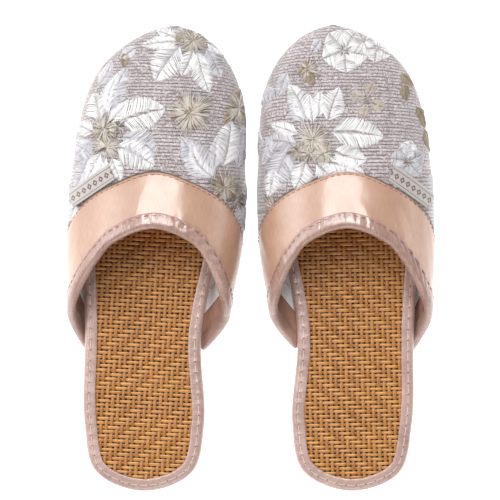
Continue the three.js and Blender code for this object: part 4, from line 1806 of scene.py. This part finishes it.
        uv = np.stack(np.broadcast_arrays(run[:, None], path_length(section)[None, :]), -1)
        solid = swept(stations, uv)
        self.shop.piece("throat_tape", solid, self.finish.throat_tape, "binding_tape", ["throat_binding"])
        at = (w - 1.5, face - 0.02)
        self._stitches("throat_stitches", at, self.throat_pitch, 3.1, (0.085, 0.915), "throat_stitching")

    def _stitches(
        self, name: str, at: Point, pitch: float, long: float, span: Point, node: str, width: float = 0.42
    ) -> None:
        """A row of stitches along the collar.

        Args:
            name: The piece's name.
            at: Distance in front of the throat's edge, or behind the front seam if negative, and
                distance out from the upper's face.
            pitch: From one stitch to the next.
            long: Length of a stitch.
            span: Shares of the way along where the row starts and ends.
            node: The frame node that the row stands for.
            width: Thickness of the thread.
        """
        forward, out = at
        fine = np.linspace(*span, 900)

        def line(along: Array) -> tuple[Array, Array]:
            """Points and normals on the stitch line.

            Args:
                along: Shares of the way along the collar.

            Returns:
                The points, and the upper's normals there.
            """
            base = self.last.collar_width(along) if forward < 0 else np.zeros(len(along))
            q = self.last.collar(along, (base + forward)[:, None])[:, 0]
            return self.last.lifted(q, out), self.last.normal(q[:, 0], q[:, 1])

        path, _ = line(fine)
        run = path_length(path)
        count = int(run[-1] / pitch)
        centres = np.interp((np.arange(count) + 0.5) * pitch, run, fine)
        step = 0.4 / run[-1] * (span[1] - span[0])
        p, n = line(centres)
        t = unit(line(centres + step)[0] - line(centres - step)[0])
        rng = np.random.default_rng(len(name) + self.shop.side.value)
        lengths = long * rng.uniform(0.93, 1.07, count)
        sizes = np.c_[lengths, np.full(count, width), np.full(count, width * 0.9)]
        self.shop.piece(name, stitches(p, t, n, sizes), self.finish.seam_thread, "thread", [node])

    def _seam(self) -> None:
        """Stitches close behind the folded front edge of the collar."""
        at = (-1.5, self.proud - 0.05)
        self._stitches("seam_stitches", at, self.seam_pitch, 2.5, (0.1, 0.9), "seam_stitching", 0.5)

    def _label(self) -> None:
        """The label: a folded strip that lies on the vamp, held at its rear edge."""
        step = self.label_length / 2 / self.last.seam.length
        place = np.array([self.label_place, self.label_place + step, self.label_place - step])
        q = self.last.collar(place, (self.last.collar_width(place) + 0.5)[:, None])[:, 0]
        p = self.last.surface(q[:, 0], q[:, 1])
        up = self.last.normal(q[:1, 0], q[:1, 1])[0]
        along = p[1] - p[2]
        side = unit(along - up * (along @ up))
        forward = np.cross(up, side)
        if forward[1] < 0:
            forward, side = -forward, -side
        a = np.linspace(-0.5, 0.5, 41) * self.label_length
        b = np.linspace(0, 1, 15) * self.label_depth
        flat = p[0] + side * a[:, None, None] + forward * b[None, :, None]
        u, v = self.last.drape(flat[..., 0], flat[..., 1])
        base, normal = self.last.surface(u, v), self.last.normal(u, v)
        plane = flat + up * (self.proud + self.gap)
        lie = base + normal * 0.8
        share = 0.85 * smooth(b, 0, 5)[None, :, None] + 0.1
        curl = 0.18 * np.sin(a / 4.1 + 0.6)[:, None] * (b / self.label_depth)[None, :]
        middle = mix(plane, lie, share) + normal * curl[..., None]
        corner = np.minimum.outer(np.minimum(a - a[0], a[-1] - a), np.minimum(b + 1, b[-1] - b))
        half = (0.1 + 0.15 * smooth(corner, 0, 0.5))[..., None]
        uv = np.stack(np.broadcast_arrays((a - a[0])[:, None], b[None, :]), -1).reshape(-1, 2)
        solid = plate(middle + normal * half, middle - normal * half, uv)
        turn = -1 if np.cross(forward, side) @ up < 0 else 1
        solid.faces = [f[:, ::-turn] for f in solid.faces]
        obj = self.shop.piece("label_strip", solid, self.finish.label, "label_weave", ["label"], "label_tag")
        self.shop.named("vamp_net")


# ---------------------------------------------------------------- embroidery


@dataclass(frozen=True)
class Petal:
    """One satin-stitched leaf or petal, from its base to its tip, in plan millimetres."""

    base: Point
    tip: Point
    width: float
    yarn: Yarn = Yarn.WHITE
    bend: float = 0.0
    round_end: float = 0.9


@dataclass(frozen=True)
class Burst:
    """Threads that spread from a flower's middle."""

    centre: Point
    radius: float
    yarn: Yarn = Yarn.BEIGE
    count: int = 90
    lobes: int = 0
    turn: float = 0.0


@dataclass
class Embroidery:
    """The flowers worked through one vamp's net."""

    shop: Workshop
    last: Last
    finish: Finishes
    petals: Sequence[Petal]
    bursts: Sequence[Burst]
    pitch: float = 0.42
    thread: float = 0.5
    label_middle: Point = (-25.0, 167.5)
    label_run: Point = (0.795, 0.606)

    def build(self) -> None:
        """Works all the petals as one piece and all the middles as another."""
        rng = np.random.default_rng(70 + self.shop.side.value)
        parts = [self._petal(p, rng) for p in self.petals]
        self.shop.piece("embroidered_petals", Solid.joined(parts), self.finish.embroidery, "thread")
        parts = [self._burst(b, rng) for b in self.bursts]
        self.shop.piece("embroidered_middles", Solid.joined(parts), self.finish.embroidery, "thread")

    def _threads(self, plan: Array, lift: Array, width: Array, colour: Array) -> Solid:
        """Thin three-sided threads laid on the vamp.

        Args:
            plan: Plan points as (thread, step, 2).
            lift: Height over the net as (thread, step).
            width: Thread width as (thread, step).
            colour: Colours as (thread, 3).

        Returns:
            All the threads as one solid.
        """
        u, v = self.last.drape(plan[..., 0], plan[..., 1])
        base, normal = self.last.surface(u, v), self.last.normal(u, v)
        seam = self.last.seam.line[np.argsort(self.last.seam.line[:, 0])]
        behind = v < np.interp(u, seam[:, 0], seam[:, 1]) + 0.9
        from_label = plan - np.array(self.label_middle)
        run_x, run_y = self.label_run
        along, off = from_label @ np.array([run_x, run_y]), from_label @ np.array([-run_y, run_x])
        pressed = (1 - smooth(np.abs(along), 14, 17)) * (1 - smooth(np.abs(off), 6, 8))
        lift = np.where(behind, -0.35, lift * (1 - 0.6 * pressed))
        line = base + normal * lift[..., None]
        run = unit(np.gradient(line, axis=1))
        side = unit(np.cross(normal, run))
        foot = 0.22 * width[..., None] * normal
        left = line - side * width[..., None] / 2 - foot
        right = line + side * width[..., None] / 2 - foot
        crown = line + normal * (0.34 * width[..., None])
        ring = np.stack([left, right, crown], 2)
        n, m = ring.shape[:2]
        quads = grid_faces(m, 3, True)[:, ::-1]
        start = (np.arange(n) * m * 3)[:, None, None]
        last = (m - 1) * 3
        ends = np.array([[0, 1, 2], [last + 2, last + 1, last]])
        faces = [(quads[None] + start).reshape(-1, 4), (ends[None] + start).reshape(-1, 3)]
        colours = np.repeat(colour[:, None, :], m * 3, 1)
        return Solid(ring.reshape(-1, 3), faces, None, colours.reshape(-1, 3))

    def _petal(self, petal: Petal, rng: np.random.Generator) -> Solid:
        """Threads from a petal's midrib out to both edges, slanting towards its tip.

        The half width is a sine of the share of the way along, raised to a power so that the base is fine
        and the far end round. The midrib bends by a parabola.

        Args:
            petal: What to stitch.
            rng: The vamp's random numbers.

        Returns:
            The petal's threads.
        """
        b, t = np.array(petal.base, float), np.array(petal.tip, float)
        length = float(np.linalg.norm(t - b))
        forward = (t - b) / length
        right = np.array([forward[1], -forward[0]])
        count = max(12, int(length / self.pitch))
        s = np.repeat(np.linspace(0.02, 0.985, count), 2)
        hand = np.tile([-1.0, 1.0], count)
        s = np.clip(s + rng.normal(0, 0.25 / count, len(s)), 0.01, 0.99)
        lean = (0.27 + 0.03 * rng.normal(size=len(s))) * (1 - s)
        reach = np.clip(s + lean, 0, 1)

        def half(at: Array) -> Array:
            """Half width of the petal."""
            return petal.width * 0.62 * np.sin(math.pi * np.clip(at, 0, 1) ** petal.round_end) ** 0.68

        def rib(at: Array) -> Array:
            """Midrib points."""
            bow = petal.bend * 4 * at * (1 - at)
            return b + forward * (length * at)[:, None] + right * bow[:, None]

        ragged = rng.uniform(0.86, 1.06, len(s))
        start = rib(s) + right * (hand * 0.12)[:, None]
        end = rib(reach) + right * (hand * half(reach) * ragged)[:, None]
        steps = np.linspace(0, 1, 5)
        plan = mix(start[:, None], end[:, None], steps[None, :, None])
        plan = plan + forward * (0.35 * np.sin(math.pi * steps))[None, :, None]
        arch = np.sin(math.pi * steps**0.85)[None, :]
        lift = 0.06 + 0.5 * arch * rng.uniform(0.75, 1.15, len(s))[:, None]
        lift[:, 0] -= 0.12
        lift[:, -1] -= 0.12
        width = self.thread * rng.uniform(0.8, 1.15, len(s))[:, None] * np.array([0.75, 1, 1, 0.95, 0.5])
        depth = 0.92 + 0.08 * np.clip(reach * 1.5, 0, 1) - 0.05 * (hand > 0)
        shade = (depth * np.clip(rng.normal(1.0, 0.09, len(s)), 0.7, 1.1))[:, None]
        rare = rng.random(len(s)) < 0.06
        colour = np.array(petal.yarn.value)[None] * shade
        colour[rare] = colour[rare] * 0.62 + np.array(Yarn.OLIVE.value) * 0.3
        return self._threads(plan, lift, width, colour)

    def _burst(self, burst: Burst, rng: np.random.Generator) -> Solid:
        """Loose threads from near the middle outwards, in tones from the yarn's own to a dark olive.

        Args:
            burst: What to stitch.
            rng: The vamp's random numbers.

        Returns:
            The burst's threads.
        """
        n = burst.count
        angle = rng.uniform(0, TAU, n)
        inner = burst.radius * rng.uniform(0.0, 0.3, n)
        outer = burst.radius * rng.uniform(0.5, 1.05, n)
        if burst.lobes:
            beat = np.cos(burst.lobes / 2 * (angle - math.radians(burst.turn)))
            outer = outer * (0.62 + 0.38 * np.abs(beat))
        swirl = rng.normal(0, 0.12, n)
        steps = np.linspace(0, 1, 4)
        r = inner[:, None] + (outer - inner)[:, None] * steps
        a = angle[:, None] + swirl[:, None] * steps
        plan = np.array(burst.centre) + np.stack([r * np.cos(a), r * np.sin(a)], -1)
        arch = np.sin(math.pi * (steps * 0.9 + 0.05))[None, :]
        lift = 0.25 + 0.55 * arch * rng.uniform(0.6, 1.2, n)[:, None]
        width = 0.46 * rng.uniform(0.7, 1.2, n)[:, None] * np.array([0.9, 1, 0.9, 0.5])
        dark = (rng.random(n) < 0.16)[:, None]
        pale = (rng.random(n) < 0.48)[:, None]
        own = np.array(burst.yarn.value)[None] * rng.uniform(0.8, 1.15, n)[:, None]
        light = np.where(pale, own * 0.4 + np.array(Yarn.WHITE.value) * 0.5, own)
        colour = np.where(dark, np.array(Yarn.OLIVE.value)[None] * 0.8, light)
        return self._threads(plan, lift, width, colour)


def blossom(centre: Point, radius: float, turn: float, yarn: Yarn) -> list[Petal]:
    """A round blossom: petals at even angles about its centre.

    Args:
        centre: Its middle, in plan millimetres.
        radius: From the middle to the petals' ends.
        turn: Angle of the first petal, in degrees.
        yarn: Colour of the petals.

    Returns:
        The petals.
    """
    petals = []
    for a in np.radians(turn + 72 * np.arange(5)):
        way = np.array([math.cos(a), math.sin(a)])
        base, tip = centre + 0.14 * radius * way, centre + radius * way
        petals.append(Petal(tuple(base), tip=tuple(tip), width=radius * 0.95, yarn=yarn, round_end=1.35))
    return petals


W, P, B, T = Yarn.WHITE, Yarn.PALE, Yarn.BEIGE, Yarn.TAN

LEFT_PETALS = [
    Petal((-14, 204), (11, 211), 18, W, -1.0),
    Petal((-12, 196), (7, 186), 14, P, -2.0),
    Petal((-15, 191), (6, 180), 14, W, -1.0),
    Petal((-19, 203), (-9, 215), 7, W),
    Petal((-19, 207), (-10, 234), 12, P, -2.0),
    Petal((-20, 208), (-14, 231), 6, W, -2.5),
    Petal((-24, 205), (-28, 220), 12, W),
    Petal((-27, 198), (-39, 204), 8, W),
    Petal((-28, 193), (-38, 184), 12, P, 1.5),
    Petal((-23, 187), (-31, 172), 8, W),
    Petal((-20, 185), (-26, 174), 7, W),
    Petal((-17, 184), (-12, 172), 7, W),
    Petal((-30, 184), (-37, 168), 9, P),
    Petal((19, 247), (6, 227), 15, W, 1.0),
    Petal((26, 245), (20, 230), 8, W, -0.5),
    Petal((28, 244), (35, 221), 10, W, 0.5),
    Petal((33, 246), (41, 230), 9, P, -0.5),
    Petal((18, 249), (-2, 247), 7, W, 0.6),
    Petal((17, 251), (6, 256), 6, W),
    Petal((33, 250), (43, 243), 6, W),
    Petal((39, 173), (21, 195), 14, P, -1.0),
    Petal((38, 174), (26, 193), 8, W, -3.0),
    Petal((43, 180), (47, 205), 13, W, 1.0),
    Petal((38, 178), (40, 196), 7, P),
    Petal((51, 180), (54, 202), 8, P),
    Petal((50, 213), (57, 204), 7, B),
    Petal((50, 215), (53, 224), 7, B),
    Petal((49, 213), (44, 204), 5, T),
    Petal((-11, 244), (-12, 235), 5, T, 0.0, 1.0),
    Petal((-5, 246), (-14, 240), 6, P, 0.0, 1.0),
    Petal((-26, 224), (-19, 238), 7, P, 1.0),
    Petal((-37, 160), (-41, 148), 8, W),
    Petal((52, 160), (58, 146), 8, P),
    Petal((56, 172), (62, 160), 8, W),
    Petal((-36, 206), (-44, 192), 8, P),
    Petal((-42, 172), (-50, 160), 9, W),
    Petal((57, 206), (66, 192), 9, W),
    Petal((20, 258), (10, 266), 8, P),
    Petal((32, 257), (42, 262), 8, W),
]
LEFT_BURSTS = [
    Burst((-22, 200), 9.5, B, 120),
    Burst((-14, 201), 6.5, Yarn.OLIVE, 50),
    Burst((-20, 190), 9, B, 110),
    Burst((26, 250), 9.5, B, 130),
    Burst((20, 253), 6, T, 50),
    Burst((25, 209), 14, B, 330, 5, 108),
    Burst((25, 209), 5, T, 60),
    Burst((44, 169), 10, T, 140),
    Burst((50, 162), 8, Yarn.OLIVE, 80),
    Burst((51, 213), 11, B, 130, 5, 90),
]
RIGHT_PETALS = [
    *blossom((9, 244), 12.5, -95, W),
    *blossom((-9, 246), 8, -80, W),
    Petal((-3, 218), (-7, 226), 5, B, 0.0, 1.2),
    Petal((-2, 217), (6, 219), 6, B, 0.0, 1.2),
    Petal((-5, 215), (-13, 212), 6, B, 0.0, 1.2),
    Petal((-3, 214), (-1, 206), 5, B, 0.0, 1.2),
    Petal((29, 204), (39, 224), 11, W, -1.0),
    Petal((31, 203), (36, 216), 8, P, 1.0),
    Petal((26, 203), (28, 218), 7, W),
    Petal((18, 204), (12, 222), 12, W, 0.5),
    Petal((23, 206), (22, 220), 8, W),
    Petal((16, 198), (-12, 196), 15, W, 1.0),
    Petal((15, 188), (-3, 183), 11, W, -1.0),
    Petal((20, 182), (-2, 175), 9, W, 1.0),
    Petal((24, 181), (14, 172), 9, W),
    Petal((34, 197), (48, 202), 7, W),
    Petal((34, 191), (51, 194), 10, P),
    Petal((30, 182), (35, 167), 10, W, 1.0),
    Petal((38, 189), (46, 166), 13, P, -1.5),
    Petal((46, 178), (49, 163), 8, W),
    Petal((48, 196), (53, 180), 6, P),
    *blossom((-26, 183), 9.5, 80, P),
    Petal((-25, 185), (-28, 194), 9, W, 0.0, 1.3),
    Petal((-22, 178), (-19, 169), 6, W),
    Petal((-22, 232), (-29, 226), 5, T),
    Petal((-24, 226), (-25, 217), 5, T),
    Petal((-31, 214), (-36, 203), 5, T, 1.0),
    Petal((-36, 202), (-40, 190), 5, T),
    Petal((27, 238), (34, 230), 5, T),
    Petal((30, 232), (26, 224), 5, T),
    Petal((22, 250), (27, 242), 5, P),
    Petal((40, 231), (45, 218), 6, P),
    Petal((-40, 180), (-48, 168), 9, W),
    Petal((54, 200), (62, 186), 9, W),
    Petal((-30, 238), (-38, 246), 8, P),
    Petal((12, 258), (18, 267), 8, P),
    Petal((-2, 256), (-8, 266), 8, W),
    Petal((46, 222), (56, 216), 8, P),
]
RIGHT_BURSTS = [
    Burst((26, 194), 10, B, 150),
    Burst((33, 187), 7, T, 70),
    Burst((20, 186), 8, B, 80),
    Burst((27, 186), 7, B, 60),
    Burst((10, 244), 3.5, P, 24),
    Burst((-4, 216), 3, T, 20),
    Burst((-26, 183), 2.6, T, 14),
    Burst((46, 156), 9, T, 90),
    Burst((29, 233), 8, B, 60, 4, 20),
    Burst((-38, 212), 5, T, 26),
]


LEFT_FOLDS = [(0.37, 0.3, 7.0, 0.3), (0.31, 0.4, 4.0, -0.25), (0.66, -0.2, 9.0, 0.25)]
RIGHT_FOLDS = [(0.325, 0.35, 5.0, 0.5), (0.285, 0.3, 4.0, -0.35), (0.4, 0.2, 8.0, 0.25)]


# ---------------------------------------------------------------- studio


@dataclass
class Studio:
    """A pale floor, soft lights and a camera straight above."""

    camera_height: float = 1.1
    camera_at: Point = (-0.0003, 0.0051)
    view_width: float = 0.257334
    floor_half: float = 3.0
    floor_z: float = -0.0002
    sensor: float = 36.0

    def build(self) -> None:
        """Builds the floor, the lights, the world and the camera."""
        self._floor()
        self._world()
        self._light("strip", (0.03, 0.72, 1.5), (0.11, 0.8), 13, (1.0, 0.99, 0.985))
        self._light("key", (-1.05, 0.35, 1.2), (1.1, 1.1), 15, (1.0, 0.99, 0.98))
        self._light("left_low", (-1.3, 0.6, 0.4), (1.2, 0.6), 5, (1.0, 1.0, 1.0))
        self._light("right_low", (1.3, 0.6, 0.4), (1.2, 0.6), 4.5, (1.0, 1.0, 1.0))
        self._light("heel_light", (0.15, -1.25, 0.75), (0.8, 0.4), 6, (1.0, 0.99, 0.98))
        self._camera()

    def _floor(self) -> None:
        """A wide flat floor, just under the soles."""
        mesh = bpy.data.meshes.new("studio_floor")
        signs = ((-1, -1), (1, -1), (1, 1), (-1, 1))
        corners = [(x * self.floor_half, y * self.floor_half, self.floor_z) for x, y in signs]
        mesh.from_pydata(corners, [], [(0, 1, 2, 3)])
        g = Graph("studio_paper")
        g.shader.inputs["Base Color"].default_value = (0.93, 0.93, 0.93, 1)
        g.shader.inputs["Emission Color"].default_value = (1, 1, 1, 1)
        g.shader.inputs["Emission Strength"].default_value = 0.85
        mesh.materials.append(g.finish(roughness=0.9, specular=0.1))
        floor = bpy.data.objects.new("studio_floor", mesh)
        bpy.context.scene.collection.objects.link(floor)

    def _world(self) -> None:
        """Even white light from all round."""
        world = bpy.data.worlds.new("studio_air")
        world.use_nodes = True
        world.node_tree.nodes["Background"].inputs[0].default_value = (1, 1, 1, 1)
        world.node_tree.nodes["Background"].inputs[1].default_value = 0.28
        bpy.context.scene.world = world

    def _light(self, name: str, at: Colour, size: Point, watts: float, colour: Colour) -> None:
        """A soft light that faces the pair.

        Args:
            name: The lamp's name.
            at: Where it hangs, in metres.
            size: Its width and height, in metres.
            watts: Its power.
            colour: Its linear RGB colour.
        """
        data = bpy.data.lights.new(name, "AREA")
        data.shape = "RECTANGLE"
        data.size, data.size_y = size
        data.energy = watts
        data.color = colour
        light = bpy.data.objects.new(name, data)
        light.location = at
        back = Vector(at) - Vector((0, 0, 0.03))
        light.rotation_mode = "QUATERNION"
        light.rotation_quaternion = back.to_track_quat("Z", "Y")
        bpy.context.scene.collection.objects.link(light)

    def _camera(self) -> None:
        """A long lens that looks straight down."""
        data = bpy.data.cameras.new("camera")
        data.sensor_width = self.sensor
        data.lens = self.sensor / self.view_width
        data.clip_start, data.clip_end = 0.05, 20
        camera = bpy.data.objects.new("camera", data)
        camera.location = (*self.camera_at, self.camera_height)
        bpy.context.scene.collection.objects.link(camera)
        bpy.context.scene.camera = camera


# ---------------------------------------------------------------- the pair


@dataclass
class Slipper:
    """One slipper of the pair."""

    side: Side
    turn_degrees: float
    last: Last
    finish: Finishes
    petals: Sequence[Petal]
    bursts: Sequence[Burst]
    folds: Sequence[tuple[float, float, float, float]]
    tape_fold: float

    def build(self) -> None:
        """Places the slipper's frame on its frame nodes and builds its parts."""
        place = Placement(self.side, self.turn_degrees, self.last)
        place.fit(f"{self.side.word}_outsole", Sole.outsole_inset)
        shop = Workshop(self.side, place)
        Sole(shop, self.last, self.finish).build()
        Upper(shop, self.last, self.finish, folds=self.folds, tape_fold=self.tape_fold).build()
        Embroidery(shop, self.last, self.finish, self.petals, self.bursts).build()
        LOG.info("%s slipper placed at %s", self.side.word, np.round(place.shift, 2))


def main() -> None:
    """Builds the studio and both slippers."""
    logging.basicConfig(level=logging.INFO, format="%(message)s")
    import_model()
    bpy.context.scene.view_settings.view_transform = "Standard"
    Studio().build()
    last, finish = Last(), Finishes()
    Slipper(Side.LEFT, -0.5, last, finish, LEFT_PETALS, LEFT_BURSTS, LEFT_FOLDS, 0.37).build()
    Slipper(Side.RIGHT, -1.1, last, finish, RIGHT_PETALS, RIGHT_BURSTS, RIGHT_FOLDS, 0.64).build()
    bpy.context.view_layer.update()


if __name__ == "__main__":
    main()
